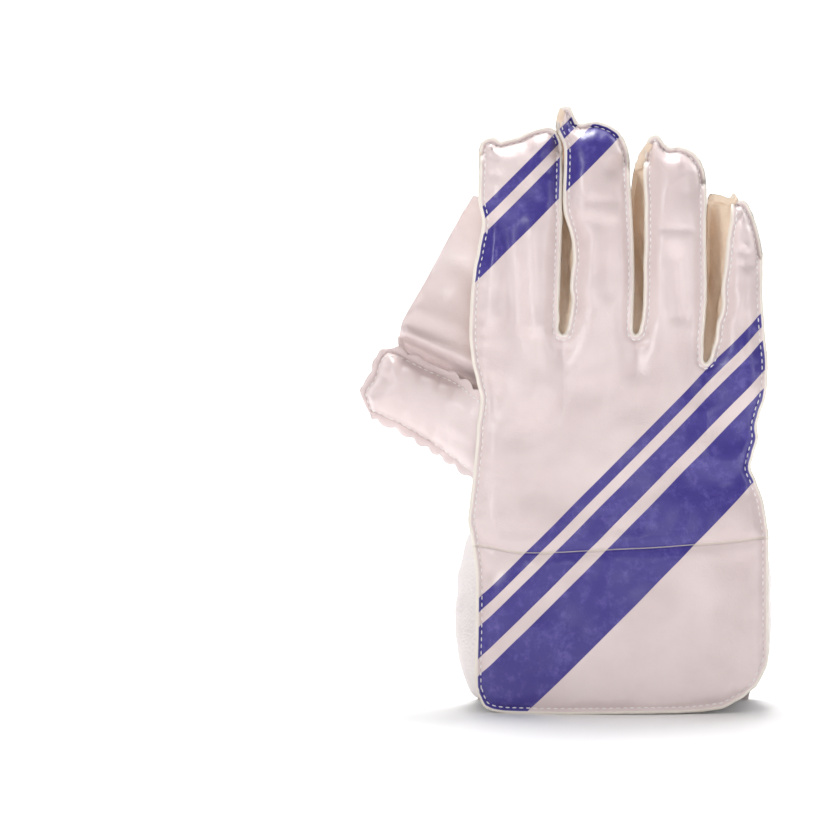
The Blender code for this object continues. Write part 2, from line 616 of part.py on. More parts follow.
def cuff_pad(surface):
    """The pillow on the palm side of the cuff: flat inside, swollen outside, its hem arched."""
    def arch(u):
        t = min(1.0, max(0.0, (u - PAD_CORNER) / (1 - 2 * PAD_CORNER)))
        return PAD_ARCH * GLOVE_HEIGHT * math.sin(math.pi * t) ** PAD_ARCH_POWER

    def swell(u, v):
        across, up = 1 - abs(2 * u - 1) ** 3, 1 - abs(2 * v - 1) ** 3
        return PAD_RIM * PALM_WALL + CUFF_PAD_PUFF * across ** PAD_ACROSS * up ** PAD_UP

    cuff_grid("cuff_pad", 0.0, CUFF_PAD_HEIGHT, PAD_ROWS, arch, lambda u, v: -PALM_WALL, swell,
              surface)


def stand_at_origin():
    """Place everything so that the origin is on the floor under the middle of the whole glove."""
    made = [item for item in bpy.data.objects if item.type == "MESH"]
    points = [corner.co for item in made if not item.hide_render for corner in item.data.vertices]
    lows, highs = ([pick(point[axis] for point in points) for axis in range(2)] for pick in (min, max))
    middle_x, middle_y = ((low + high) / 2 for low, high in zip(lows, highs))
    for item in made:
        item.location = (-middle_x, -middle_y, 0.0)


def clear_scene():
    for old in list(bpy.data.objects):
        bpy.data.objects.remove(old, do_unlink=True)


def main():
    clear_scene()
    vinyl = material("white_vinyl", (0.82, 0.76, 0.75), 0.35)
    rubber = material("ribbed_rubber", (0.62, 0.31, 0.10), 0.70)
    leather = material("beige_leather", (0.50, 0.37, 0.25), 0.60)
    soft = material("white_leather", (0.80, 0.72, 0.72), 0.50)
    panel("back_panel", BACK, 0.0, vinyl)
    palm_facing(rubber)
    for slit in range(3):
        finger_gusset(slit, leather)
    side_walls(leather)
    cuff_sides(soft)
    thumb(vinyl, rubber)
    web(soft)
    cuff_band(soft)
    cuff_pad(soft)
    stand_at_origin()


main()
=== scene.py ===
"""Detailed model of a right-hand wicketkeeping glove that stands on its cuff.

Shapes are worked out in millimetres round the middle of the back panel, as the part's source
does, and moved to the part's origin when each mesh is made. The back faces -Y, the palm +Y.
"""
import math
from collections import namedtuple

import bmesh
import bpy
import numpy as np
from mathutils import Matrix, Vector
from mathutils.bvhtree import BVHTree
from mathutils.kdtree import KDTree


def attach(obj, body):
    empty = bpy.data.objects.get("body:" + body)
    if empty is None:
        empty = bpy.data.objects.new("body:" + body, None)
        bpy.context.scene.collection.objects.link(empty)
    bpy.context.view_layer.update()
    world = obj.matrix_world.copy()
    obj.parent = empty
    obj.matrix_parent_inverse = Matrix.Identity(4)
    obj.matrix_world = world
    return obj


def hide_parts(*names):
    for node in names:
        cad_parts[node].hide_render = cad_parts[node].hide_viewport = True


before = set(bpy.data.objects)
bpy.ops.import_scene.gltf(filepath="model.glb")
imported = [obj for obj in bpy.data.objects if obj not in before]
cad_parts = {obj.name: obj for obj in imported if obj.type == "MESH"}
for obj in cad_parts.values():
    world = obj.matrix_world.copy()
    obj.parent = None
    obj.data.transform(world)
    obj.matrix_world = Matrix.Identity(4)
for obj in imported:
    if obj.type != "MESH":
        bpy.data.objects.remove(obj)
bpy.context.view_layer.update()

# Driving sizes, in millimetres, as in the part's source
MM = 0.001
ORIGIN = np.array([25.1995, -3.4512, 0.0])
HEIGHT = 300.0
HALF_WIDTH = 75.5
HAND_DEPTH = 40.0
FINGER_CURL = 14.0
THUMB_LENGTH = 105.0
THUMB_HALF = 19.0
THUMB_DEPTH = 30.0
THUMB_SLOPE = math.radians(25.5)
THUMB_MIDDLE = 6.0
THUMB_LEAN = 10.0
PAD_HEIGHT = 78.0
PAD_PUFF = 16.0
BAND_HEIGHT = 7.5
PALM_FLOOR = 86.8
TIP_ROUND = 24.0
FLANGE = 3.0          # stitch line to raw edge
LEATHER = 1.0         # gusset leather
SLIT_ROUND = 3.2      # radius of a slit's rounded bottom
THUMB_TUCK = 4.0      # how far the thumb's front starts under the palm's edge
TUCK_DEPTH = 3.7      # of the thumb's start under the palm's edge
TOP_POINTS = 14       # of a gusset's path along a fingertip
STITCH_PITCH = 3.4
STITCH_LENGTH = 2.5
STITCH_WIDTH = 0.75
PALM_STITCH = (2.9, 2.3, 0.6)   # pitch, length and width of the palm's finer stitches
STITCH_SINK = 0.05    # how deep a stitch sits in its piece
STITCH_BREAK = 4.0    # a step along Y past which a row of stitches stops
FINGER_SPAN = 38.0    # nominal width of a finger, for the spacing of its columns
FOLD_SCALE = 1.7
WAVES = 7             # sines in a ripple
FAR_INSIDE = 9.0      # distance from a raw edge that leaves a place unmarked
SHARP_ANGLE = math.radians(50.0)
HOLE_RISE = 60.0      # how far the thumb hole's cutter reaches
LIP_ROWS = ((0.15, 4.15), (1.2, 4.25), (2.3, 4.45), (3.1, 5.3))   # inset, depth under the panel
PALM_LIP_RISE = 0.85
WALL_STEPS = np.linspace(0.0, 1.0, 15)[1:-1]
GUSSET_LEG = 85       # points on each leg of a gusset
SIDE_POINTS = 110     # points along a side wall
CUFF_LEATHER = 1.6
COLLAR_LEATHER = 0.6
COLLAR_END = (0.30, 0.43)       # share of the thumb that the lower and the upper collar reach
JOIN_SHARE = 0.24     # share of the thumb over which it blends into the hand
CUFF_SPAN = 140.0     # nominal width of the cuff, for the spacing of its columns
PAD_SPAN = 76.0       # nominal height of the pad, for the spacing of its rows
PAD_REACH = (142.0, 74.0)       # width and height of the pad, for the distance to its seam
CUFF_STEP = 2.4
BAND_GAP = 0.4        # between the pad and the band
PILLOW_CLOTH = 4.5    # size of the pillow's simulated faces
PILLOW_CAP = 6.0      # most that the air moves the pillow's cloth
PILLOW_FRAMES = 20
AIR_PRESSURE = 4.0

Edge = namedtuple("Edge", "height left right")
Slit = namedtuple("Slit", "height left right")
Depth = namedtuple("Depth", "height back_edge back_crown palm_edge palm_crown puff")
Tip = namedtuple("Tip", "across height")
Hem = namedtuple("Hem", "across height")
Lobe = namedtuple("Lobe", "along lower upper")
Seam = namedtuple("Seam", "inset lift under")
Fold = namedtuple("Fold", "x0 z0 x1 z1 width height")
Bend = namedtuple("Bend", "height across lean width start end")
Light = namedtuple("Light", "name place aim size power")


def table(kind, rows):
    return [kind(*row) for row in rows]


# Heights are shares of HEIGHT, places across are shares of HALF_WIDTH
BACK_EDGES = table(Edge, [
    (0.0, -0.93, 0.975), (0.06, -0.94, 0.985), (0.15, -0.934, 0.985), (0.227, -0.934, 0.986),
    (0.292, -0.965, 0.987), (0.313, -0.985, 0.975), (0.345, -0.972, 0.955), (0.38, -0.954, 0.908),
    (0.402, -0.946, 0.872), (0.425, -0.937, 0.893), (0.45, -0.927, 0.921), (0.47, -0.925, 0.914),
    (0.49, -0.912, 0.934), (0.517, -0.901, 0.97), (0.542, -0.925, 0.983), (0.578, -0.958, 0.987),
    (0.622, -0.974, 0.97), (0.685, -0.964, 0.956), (0.73, -0.945, 0.962), (0.757, -0.922, 0.969),
    (0.808, -0.889, 0.965), (0.843, -0.914, 0.96), (0.9, -0.908, 0.955), (1.0, -0.904, 0.95)])
PALM_EDGES = table(Edge, [
    (0.0, -0.91, 0.905), (0.065, -0.95, 0.973), (0.23, -0.95, 0.985), (0.29, -0.967, 0.978),
    (0.37, -0.95, 0.914), (0.4, -0.94, 0.875), (0.45, -0.92, 0.915), (0.53, -0.87, 0.965),
    (0.6, -0.835, 0.975), (0.7, -0.84, 0.962), (0.79, -0.86, 0.96), (0.85, -0.9, 0.958),
    (0.9, -0.908, 0.955), (1.0, -0.904, 0.95)])
BACK_HEM = table(Hem, [
    (-0.94, 0.057), (-0.925, 0.03), (-0.881, 0.009), (-0.808, 0.002), (-0.728, 0.0), (-0.377, 0.0),
    (0.139, 0.002), (0.444, 0.003), (0.669, 0.008), (0.788, 0.022), (0.894, 0.042), (0.965, 0.072),
    (0.99, 0.1)])
PALM_HEM = [Hem(-1.0, PALM_FLOOR / HEIGHT), Hem(1.0, PALM_FLOOR / HEIGHT)]

BACK_SLITS = [
    table(Slit, [
        (0.622, -0.384, -0.338), (0.632, -0.386, -0.332), (0.646, -0.38, -0.321),
        (0.668, -0.384, -0.307), (0.682, -0.38, -0.303), (0.696, -0.378, -0.313),
        (0.72, -0.374, -0.306), (0.746, -0.37, -0.293), (0.773, -0.366, -0.299),
        (0.79, -0.365, -0.313), (0.808, -0.36, -0.336), (0.822, -0.362, -0.352),
        (0.843, -0.364, -0.358), (0.9, -0.356, -0.35), (0.93, -0.352, -0.35), (0.966, -0.352, -0.4),
        (1.0, -0.352, -0.396)]),
    table(Slit, [
        (0.622, 0.098, 0.14), (0.632, 0.1, 0.144), (0.646, 0.102, 0.158), (0.668, 0.105, 0.167),
        (0.703, 0.112, 0.172), (0.738, 0.112, 0.172), (0.773, 0.108, 0.179), (0.808, 0.102, 0.179),
        (0.843, 0.095, 0.181), (0.878, 0.088, 0.174), (0.91, 0.09, 0.18), (1.0, 0.09, 0.182)]),
    table(Slit, [
        (0.575, 0.56, 0.596), (0.597, 0.564, 0.62), (0.615, 0.565, 0.642), (0.632, 0.572, 0.648),
        (0.643, 0.576, 0.656), (0.657, 0.579, 0.677), (0.675, 0.586, 0.687), (0.692, 0.588, 0.683),
        (0.703, 0.589, 0.687), (0.738, 0.587, 0.707), (0.773, 0.586, 0.719), (0.79, 0.586, 0.732),
        (0.808, 0.587, 0.746), (0.843, 0.593, 0.756), (0.878, 0.593, 0.75), (1.0, 0.593, 0.75)])]
PALM_SLITS = [
    table(Slit, [
        (0.755, -0.462, -0.436), (0.79, -0.462, -0.425), (0.84, -0.438, -0.405),
        (0.88, -0.385, -0.372), (0.92, -0.354, -0.352), (0.966, -0.352, -0.4),
        (1.0, -0.352, -0.396)]),
    table(Slit, [
        (0.745, 0.05, 0.082), (0.785, 0.046, 0.086), (0.83, 0.05, 0.092), (0.88, 0.078, 0.112),
        (0.91, 0.09, 0.13), (1.0, 0.09, 0.14)]),
    table(Slit, [
        (0.7, 0.56, 0.592), (0.74, 0.556, 0.598), (0.8, 0.562, 0.6), (0.86, 0.585, 0.606),
        (1.0, 0.593, 0.61)])]

DEPTHS = table(Depth, [
    (0.0, 0.75, 0.225, 0.6, 0.15, 0.0), (0.13, 0.725, 0.225, 0.575, 0.15, 0.0),
    (0.27, 0.6, 0.2, 0.475, 0.15, 0.0), (0.4, 0.475, 0.175, 0.4, 0.15, 0.0),
    (0.53, 0.388, 0.125, 0.338, 0.125, 0.025), (0.62, 0.325, 0.088, 0.3, 0.088, 0.062),
    (0.75, 0.275, 0.038, 0.262, 0.038, 0.1), (1.0, 0.25, 0.012, 0.238, 0.012, 0.1)])

# Gathered outline of each fingertip, from its left edge to its right one
BACK_TIPS = [
    table(Tip, [
        (-0.908, 0.926), (-0.895, 0.938), (-0.857, 0.946), (-0.808, 0.947), (-0.766, 0.94),
        (-0.732, 0.943), (-0.648, 0.948), (-0.592, 0.955), (-0.522, 0.962), (-0.453, 0.965),
        (-0.397, 0.958), (-0.369, 0.945), (-0.35, 0.925)]),
    table(Tip, [
        (-0.4, 0.966), (-0.388, 0.985), (-0.369, 0.997), (-0.33, 1.0), (-0.293, 0.995),
        (-0.272, 0.98), (-0.258, 0.971), (-0.235, 0.97), (-0.202, 0.972), (-0.132, 0.974),
        (-0.062, 0.969), (0.007, 0.959), (0.049, 0.946), (0.077, 0.929), (0.092, 0.905)]),
    table(Tip, [
        (0.181, 0.916), (0.195, 0.934), (0.223, 0.948), (0.252, 0.952), (0.286, 0.949),
        (0.314, 0.939), (0.335, 0.932), (0.37, 0.931), (0.397, 0.933), (0.454, 0.929),
        (0.509, 0.922), (0.551, 0.911), (0.579, 0.897), (0.594, 0.877)]),
    table(Tip, [
        (0.752, 0.846), (0.768, 0.853), (0.78, 0.855), (0.794, 0.85), (0.806, 0.843), (0.83, 0.844),
        (0.865, 0.838), (0.899, 0.822), (0.93, 0.799), (0.95, 0.778), (0.965, 0.755)])]
PALM_TIPS = BACK_TIPS[:2] + [
    table(Tip, [(0.135, 0.905), (0.155, 0.92)]) + BACK_TIPS[2][1:],
    table(Tip, [(0.605, 0.846), (0.622, 0.853), (0.69, 0.851)]) + BACK_TIPS[3]]

# How a sewn edge runs inwards from its raw edge: distances in mm, heights over the CAD surface
BACK_SEAM = table(Seam, [
    (0.0, -2.45, -2.75), (0.35, -1.75, -2.95), (0.9, -1.35, -3.0), (1.7, -1.4, -3.0),
    (2.4, -1.85, -3.05), (3.0, -2.35, -3.2), (3.7, -1.8, -3.5), (4.8, -0.8, -3.8),
    (6.5, 0.15, -4.0), (9.0, 0.8, -4.0), (13.0, 1.0, -4.0), (22.0, 0.7, -4.0), (40.0, 0.5, -4.0)])
PALM_SEAM = table(Seam, [
    (0.0, -1.8, -2.1), (0.35, -1.15, -2.25), (0.9, -0.8, -2.3), (1.7, -0.85, -2.3),
    (2.4, -1.2, -2.4), (3.0, -1.7, -2.6), (3.7, -1.2, -2.8), (4.8, -0.5, -3.0), (6.5, 0.2, -3.0),
    (9.0, 0.6, -3.0), (13.0, 0.7, -3.0), (40.0, 0.4, -3.0)])

# Soft folds of the back, in mm: a ridge has a positive height and a valley a negative one
BACK_FOLDS = table(Fold, [
    (-54, 241, -51, 190, 7.0, -1.6), (-62, 236, -61, 196, 5.0, 1.2), (-42, 236, -40, 192, 6.0, 1.5),
    (-40, 192, -34, 176, 6.0, 1.0), (-66, 200, -69, 168, 6.0, 0.8), (-52, 182, -66, 160, 8.0, -0.9),
    (-30, 176, -30, 183, 5.0, -1.6), (-27, 172, -22, 160, 9.0, -1.0), (10, 180, 9, 170, 6.0, -1.4),
    (43, 168, 42, 157, 6.0, -1.4), (-20, 253, 4, 252, 2.4, -0.5), (-17, 248, 4, 244, 4.0, 0.6),
    (18, 239, 38, 238, 1.6, -0.6), (19, 234, 38, 232, 4.0, 0.7), (20, 228, 22, 200, 4.5, 1.1),
    (28, 222, 30, 196, 4.0, -1.1), (36, 226, 36, 200, 4.0, 0.9), (57, 227, 72, 226, 1.6, -0.6),
    (-12, 236, -14, 205, 4.0, 0.8), (-4, 240, -4, 208, 4.0, -0.8), (2, 236, 3, 206, 4.0, 0.7),
    (-30, 166, -52, 148, 10.0, 1.2), (-66, 158, -48, 140, 9.0, -1.2),
    (-70, 130, -50, 118, 10.0, 1.0), (62, 178, 66, 150, 7.0, 1.0), (72, 150, 58, 132, 8.0, -1.0),
    (70, 118, 52, 112, 8.0, -1.1), (66, 128, 46, 126, 7.0, 0.8), (-60, 98, -30, 92, 9.0, 0.9),
    (-34, 74, 40, 72, 12.0, 0.7), (-66, 60, -40, 66, 9.0, 0.9), (20, 100, 60, 94, 12.0, 0.7),
    (-68, 84, -74, 106, 5.0, -0.9), (20, 140, -10, 120, 16.0, 0.8)])
WRIST_CREASE = [(-68.0, 82.5), (-47.0, 79.5), (10.5, 82.0), (45.0, 84.0), (72.5, 86.5)]
PALM_FOLDS = table(Fold, [
    (-56, 250, -54, 220, 8.0, 0.8), (-12, 252, -12, 226, 8.0, 0.8), (25, 246, 26, 222, 8.0, 0.8),
    (-40, 205, 20, 204, 8.0, 0.9), (-48, 187, 24, 182, 6.0, -0.7), (-10, 165, 15, 140, 14.0, -1.5),
    (-50, 196, 40, 192, 5.0, 0.8), (30, 150, 50, 130, 9.0, 1.0), (-60, 100, 50, 101, 7.0, 1.1),
    (42, 118, 62, 110, 6.0, 1.0)])

# Decorative and holding seams of the palm, as places in mm from the back panel's middle
PALM_LINES = [
    [(-59, 245), (-56, 269), (-53, 274), (-47, 275), (-41, 273), (-38, 267), (-39, 250),
    (-42.5, 226), (-39, 217), (-32, 214), (-24, 217), (-21, 224), (-20.5, 250), (-20, 278),
    (-17, 284), (-13, 286.5), (-8, 284), (-5.5, 277), (-5, 250), (-5, 221), (-1, 211), (6.5, 207.5),
    (14, 212), (17, 222), (17.5, 250), (18.5, 265), (21, 272), (25, 275), (30, 272), (33, 266),
    (34.5, 240), (34.5, 210), (37, 202), (43, 199), (51, 202), (53.5, 210), (54.5, 230), (58, 237),
    (63.5, 240.5), (68, 238), (71, 232)],
    [(-59, 206.5), (-36, 209.5), (-9, 208.5), (10, 205.5), (35, 198), (48.5, 194)],
    [(-56, 175), (-38, 183.5), (-24, 187), (-10, 187.5), (10, 185), (24, 181), (36, 176)],
    [(-46, 174.5), (-39.5, 165.5), (-28.5, 151), (-22, 140), (-25, 119.5), (-28.5, 111.5),
    (-32.5, 100.5), (-39.5, 93.5), (-48, 90), (-58.5, 93.5), (-64, 103), (-63.5, 112.5)],
    [(-56, 175), (-40, 180), (-32.5, 171.5), (-28.5, 159), (-23.5, 143), (-21, 134.5), (-21.5, 114),
    (-22, 103), (-23.5, 90)],
    [(-32.5, 110), (10, 108), (39, 107), (64, 109)],
    [(41.5, 141.5), (39, 107)],
    [(58, 133), (61, 118), (64, 107), (68.5, 90)],
    [(67.5, 126.5), (76, 90)],
    [(-71, 118), (-72, 92)]]
PALM_RING = (6.5, 155.5, 5.5)

THUMB_LOBES = table(Lobe, [
    (0.0, 1.02, 1.0), (0.34, 1.12, 0.9), (0.46, 1.05, 0.9), (0.6, 0.95, 1.02), (0.76, 0.88, 0.99),
    (0.9, 0.9, 1.0), (1.0, 0.86, 0.94)])
THUMB_TIP = table(Tip, [
    (0.0, 0.89), (0.1, 0.945), (0.28, 0.995), (0.5, 0.985), (0.8, 0.995), (0.93, 0.98),
    (1.0, 0.93)])
THUMB_ROOT = (-0.400 * HALF_WIDTH, 0.397 * HEIGHT)
THUMB_BACK_EDGE = -0.86 * HALF_WIDTH
HOLE_BELOW = [(0.8, -1.3), (0.6, -1.34), (0.4, -1.4), (0.25, -1.45), (0.12, -1.4), (0.05, -1.2)]
HOLE_ABOVE = [(0.06, 1.06), (0.2, 1.05), (0.34, 1.02), (0.46, 1.03), (0.6, 1.16), (0.8, 1.2)]
WEB_EDGE = [(-0.945, 0.850), (-1.085, 0.790), (-1.260, 0.708), (-1.412, 0.642), (-1.440, 0.606)]
WEB_TOP = 0.846
WEB_SEAM = 0.09

# Folds of the thumb's back, as ridges and valleys along it
THUMB_FOLDS = table(Bend, [
    (1.8, 2.0, 0.10, 4.0, 40.0, 78.0), (-2.2, -6.0, -0.05, 3.5, 40.0, 72.0),
    (-1.2, 9.0, 0.06, 3.0, 44.0, 70.0)])
# Stitched loop of the thumb's front, as shares along it and across it
THUMB_LOOP = [
    (0.42, 0.62), (0.62, 0.7), (0.8, 0.66), (0.9, 0.4), (0.92, 0.0), (0.88, -0.36), (0.76, -0.56),
    (0.55, -0.62), (0.3, -0.66), (0.12, -0.5), (0.05, -0.1), (0.06, 0.35)]
# How the pad's sewn edge rises over its base, by the distance to the edge
PAD_FLANGE = [(0, -0.9), (0.6, -0.1), (1.6, 0.0), (3.0, -0.7), (5.0, 0.3), (9.0, 0.6)]

# Distances in mm at which a sewn edge's rows and columns are close together
FINE = [0.0, 0.45, 1.0, 1.6, 2.2, 2.7, 3.1, 3.6, 4.3, 5.2, 6.4, 7.8]


def smooth(rows, at, column):
    """Value of a table's column, on a smooth curve through its rows, flat past its ends."""
    keys = np.array([row[0] for row in rows], float)
    values = np.array([row[column] for row in rows], float)
    slopes = np.empty_like(values)
    slopes[1:-1] = (values[2:] - values[:-2]) / (keys[2:] - keys[:-2])
    slopes[0] = (values[1] - values[0]) / (keys[1] - keys[0])
    slopes[-1] = (values[-1] - values[-2]) / (keys[-1] - keys[-2])
    at = np.clip(np.asarray(at, float), keys[0], keys[-1])
    i = np.clip(np.searchsorted(keys, at, side="right") - 1, 0, len(keys) - 2)
    span = keys[i + 1] - keys[i]
    t = (at - keys[i]) / span
    bend = span * (slopes[i] * t * (1 - t) ** 2 - slopes[i + 1] * t * t * (1 - t))
    return values[i] + (values[i + 1] - values[i]) * t * t * (3 - 2 * t) + bend * 0.6


def mix(a, b, t):
    return a + (b - a) * t


def ease(low, high, value):
    """0 below low, 1 above high and smooth between."""
    t = np.clip((np.asarray(value, float) - low) / (high - low), 0.0, 1.0)
    return t * t * (3 - 2 * t)


def middle(z):
    return FINGER_CURL * np.maximum(0.0, (np.asarray(z, float) / HEIGHT - 0.45) / 0.55) ** 1.6


def ripple(x, z, length, seed):
    """Soft random waves of about the given length, between -1 and 1."""
    draw = np.random.default_rng(seed)
    total = np.zeros(np.broadcast(x, z).shape)
    for _ in range(WAVES):
        angle, phase = draw.uniform(0, math.tau, 2)
        scale = math.tau / (length * draw.uniform(0.7, 1.5))
        total += np.sin(scale * (math.cos(angle) * x + math.sin(angle) * z) + phase)
    return total / math.sqrt(WAVES * 2.0)


def lengths(points):
    """Distance along a path at each of its points."""
    return np.r_[0.0, np.cumsum(np.linalg.norm(np.diff(points, axis=0), axis=1))]


def along_path(points, gaps, at):
    """Points at the given distances along a path."""
    return np.stack([np.interp(at, gaps, column) for column in points.T], axis=1)


def graded(length, step, start=True):
    """Shares along a length, close together near its sewn ends."""
    low = FINE if start else [0.0]
    high = [length - f for f in reversed(FINE)]
    count = max(1, round((high[0] - low[-1]) / step))
    return np.concatenate([low, np.linspace(low[-1], high[0], count + 1)[1:-1], high]) / length


class Nearest:
    """Distance from places in a plane to the closest of many sample points."""

    def __init__(self, points):
        self.points = np.asarray(points, float)
        self.tree = KDTree(len(self.points))
        for n, (a, b) in enumerate(self.points):
            self.tree.insert((a, b, 0.0), n)
        self.tree.balance()

    def __call__(self, a, b):
        a, b = np.broadcast_arrays(a, b)
        found = [self.tree.find((p, q, 0.0)) for p, q in zip(a.ravel(), b.ravel())]
        distance = np.array([f[2] for f in found]).reshape(a.shape)
        index = np.array([f[1] for f in found]).reshape(a.shape)
        return distance, index


class Side:
    """One of the two big panels: its outline, its slits and its surface."""

    def __init__(self, sign, edges, slits, tips, hem, seam, edge_column, crown_column, tip_depth):
        self.sign, self.edges, self.slits, self.tips = sign, edges, slits, tips
        self.hem, self.seam, self.tip_depth = hem, seam, tip_depth
        self.edge_column, self.crown_column = edge_column, crown_column
        self.folds = BACK_FOLDS if sign < 0 else PALM_FOLDS
        self.rim_points = self.tour()
        self.rim = Nearest(self.rim_points)
        self.along = lengths(self.rim_points)
        self.tip_rims = [Nearest(self.tip_curve(k)) for k in range(4)]
        self.dips = None

    def limits(self, z):
        h = np.asarray(z, float) / HEIGHT
        return HALF_WIDTH * smooth(self.edges, h, 1), HALF_WIDTH * smooth(self.edges, h, 2)

    def slit_edge(self, slit, z, column):
        """Edge of a slit, rounded to a point on its middle line at the bottom."""
        h = np.asarray(z, float) / HEIGHT
        left, right = (HALF_WIDTH * smooth(self.slits[slit], h, c) for c in (1, 2))
        t = np.clip((z - self.bottom(slit)) / SLIT_ROUND, 0.0, 1.0)
        half = (right - left) / 2 * np.sqrt(1 - (1 - t) ** 2)
        return (left + right) / 2 + (half if column == 2 else -half)

    def bottom(self, slit):
        return HEIGHT * self.slits[slit][0].height

    def finger_limits(self, z, k):
        left, right = self.limits(z)
        if k > 0:
            left = self.slit_edge(k - 1, z, 2)
        if k < 3:
            right = self.slit_edge(k, z, 1)
        return left, right

    def tip(self, x, k):
        return HEIGHT * smooth(self.tips[k], np.asarray(x, float) / HALF_WIDTH, 1)

    def corner(self, k, column):
        """Where a finger's side edge meets its tip."""
        end = self.tips[k][0 if column == 0 else -1]
        z = HEIGHT * end.height
        return float(self.finger_limits(z, k)[column]), z

    def tip_curve(self, k, count=140):
        low, high = self.corner(k, 0), self.corner(k, 1)
        x = np.linspace(low[0], high[0], count)
        return np.stack([x, self.tip(x, k)], axis=1)

    def leg(self, k, column, count=220):
        """A finger's side edge, from the slit's bottom or the hem up to its tip."""
        outer = (k == 0 and column == 0) or (k == 3 and column == 1)
        top = self.corner(k, column)[1]
        if outer:
            low = float(self.floor(self.limits(0.0)[column]))
            z = np.linspace(low, top, 2 * count)
        else:
            low = self.bottom(k - 1 if column == 0 else k)
            z = low + (top - low) * np.linspace(0.0, 1.0, count) ** 1.8
        return np.stack([self.finger_limits(z, k)[column], z], axis=1)

    def floor(self, x):
        return HEIGHT * smooth(self.hem, np.asarray(x, float) / HALF_WIDTH, 1)

    def tour(self):
        """The outline in order: up the left edge, round the fingers, down and along the hem."""
        parts = []
        for k in range(4):
            parts += [self.leg(k, 0), self.tip_curve(k), self.leg(k, 1)[::-1]]
        x = np.linspace(self.limits(0.0)[1], self.limits(0.0)[0], 300)
        parts.append(np.stack([x, self.floor(x)], axis=1))
        return np.concatenate(parts)

    def across(self, x, z, k):
        left, right = self.finger_limits(z, k)
        return np.clip((x - left) / np.maximum(right - left, 1e-6), 0.0, 1.0)

    def full_depth(self, x, z, k):
        h = np.asarray(z, float) / HEIGHT
        left, right = self.limits(z)
        whole = np.minimum(1.0, np.abs(2 * (x - left) / (right - left) - 1))
        finger = 2 * self.across(x, z, k) - 1
        depth = smooth(DEPTHS, h, self.edge_column)
        depth = depth + smooth(DEPTHS, h, self.crown_column) * (1 - whole ** 2)
        return HAND_DEPTH * (depth + smooth(DEPTHS, h, 5) * (1 - finger ** 2))

    def plain(self, x, z, k):
        """Distance of the plain panel from the middle surface, closing at the fingertip's seam."""
        tip_distance = self.tip_rims[k](x, z)[0]
        t = np.clip((tip_distance - FLANGE) / TIP_ROUND, 0.0, 1.0)
        full = np.maximum(self.full_depth(x, z, k), self.tip_depth)
        return mix(self.tip_depth, full, np.sqrt(1 - (1 - t) ** 2)), tip_distance

    def lips(self, x, z, k):
        """Y of the outer and the inner surface of the sewn panel, and the distance to its edge."""
        plain, tip_distance = self.plain(x, z, k)
        inset, place = self.rim(x, z)
        lift, under = smooth(self.seam, inset, 1), smooth(self.seam, inset, 2)
        near_tip = 1 - ease(6.0, 26.0, tip_distance)
        along = self.along[place]
        gathers = ripple(along, 0.0 * along, 9.0, 5) * (0.45 + 1.1 * near_tip)
        end = 13.0 + 9.0 * near_tip
        lift = lift + gathers * ease(2.8, 4.6, inset) * (1 - ease(5.0, end, inset))
        lift = lift + self.relief(x, z) * ease(3.2, 8.0, inset)
        wave = self.wave(x, z) * (1 - ease(1.0, 5.0, inset)) * (0.6 + 0.9 * near_tip)
        outer = plain + lift + wave
        inner = np.minimum(plain + under + wave, outer - 0.9)
        return middle(z) + self.sign * outer, middle(z) + self.sign * inner, inset

    def wave(self, x, z):
        return 0.55 * ripple(x, z, 9.0, 21)

    def relief(self, x, z):
        """Folds, creases and soft unevenness of the filled panel."""
        total = 0.75 * ripple(x, z, 38.0, 3) + 0.26 * ripple(x, z, 14.0, 8)
        for fold in self.folds:
            dx, dz = fold.x1 - fold.x0, fold.z1 - fold.z0
            length = dx * dx + dz * dz
            t = np.clip(((x - fold.x0) * dx + (z - fold.z0) * dz) / length, 0, 1)
            far = np.hypot(x - fold.x0 - t * dx, z - fold.z0 - t * dz)
            total = total + FOLD_SCALE * fold.height * np.exp(-(far / fold.width) ** 2)
        if self.sign > 0:
            far = self.dips(x, z)[0]
            total = total - 0.75 * np.exp(-(far / 1.3) ** 2)
            return total + 0.4 * np.exp(-((far - 4.0) / 2.2) ** 2)
        far = above_crease(x, z)
        total = total - 0.8 * np.exp(-(far / 2.2) ** 2)
        return total + 0.4 * np.exp(-((np.abs(far) - 6.0) / 3.0) ** 2)


def above_crease(x, z):
    """Height of a place over the crease across the wrist."""
    return z - smooth(WRIST_CREASE, x, 1)


def resample(points, step):
    """Evenly spaced points along a smooth curve through the given ones."""
    points = np.asarray(points, float)
    gaps = lengths(points)
    if len(points) > 2:
        fine = np.linspace(0.0, gaps[-1], max(8, int(gaps[-1] / step) * 4))
        points = np.stack([smooth(list(zip(gaps, column)), fine, 1) for column in points.T], axis=1)
        gaps = lengths(points)
    count = max(2, int(round(gaps[-1] / step)) + 1)
    return along_path(points, gaps, np.linspace(0.0, gaps[-1], count))


def ring_points(ring, count=48):
    angle = np.linspace(0.0, math.tau, count)
    return np.stack([ring[0] + ring[2] * np.cos(angle), ring[1] + ring[2] * np.sin(angle)], axis=1)


BACK = Side(-1, BACK_EDGES, BACK_SLITS, BACK_TIPS, BACK_HEM, BACK_SEAM, 1, 2, 3.2)
PALM = Side(1, PALM_EDGES, PALM_SLITS, PALM_TIPS, PALM_HEM, PALM_SEAM, 3, 4, 2.5)
palm_seams = [resample(line, 0.8) for line in PALM_LINES] + [ring_points(PALM_RING)]
PALM.dips = Nearest(np.concatenate(palm_seams))


def thumb_place(t, q):
    cos, sin = math.cos(THUMB_SLOPE), math.sin(THUMB_SLOPE)
    return THUMB_ROOT[0] - t * cos + q * sin, THUMB_ROOT[1] + t * sin + q * cos


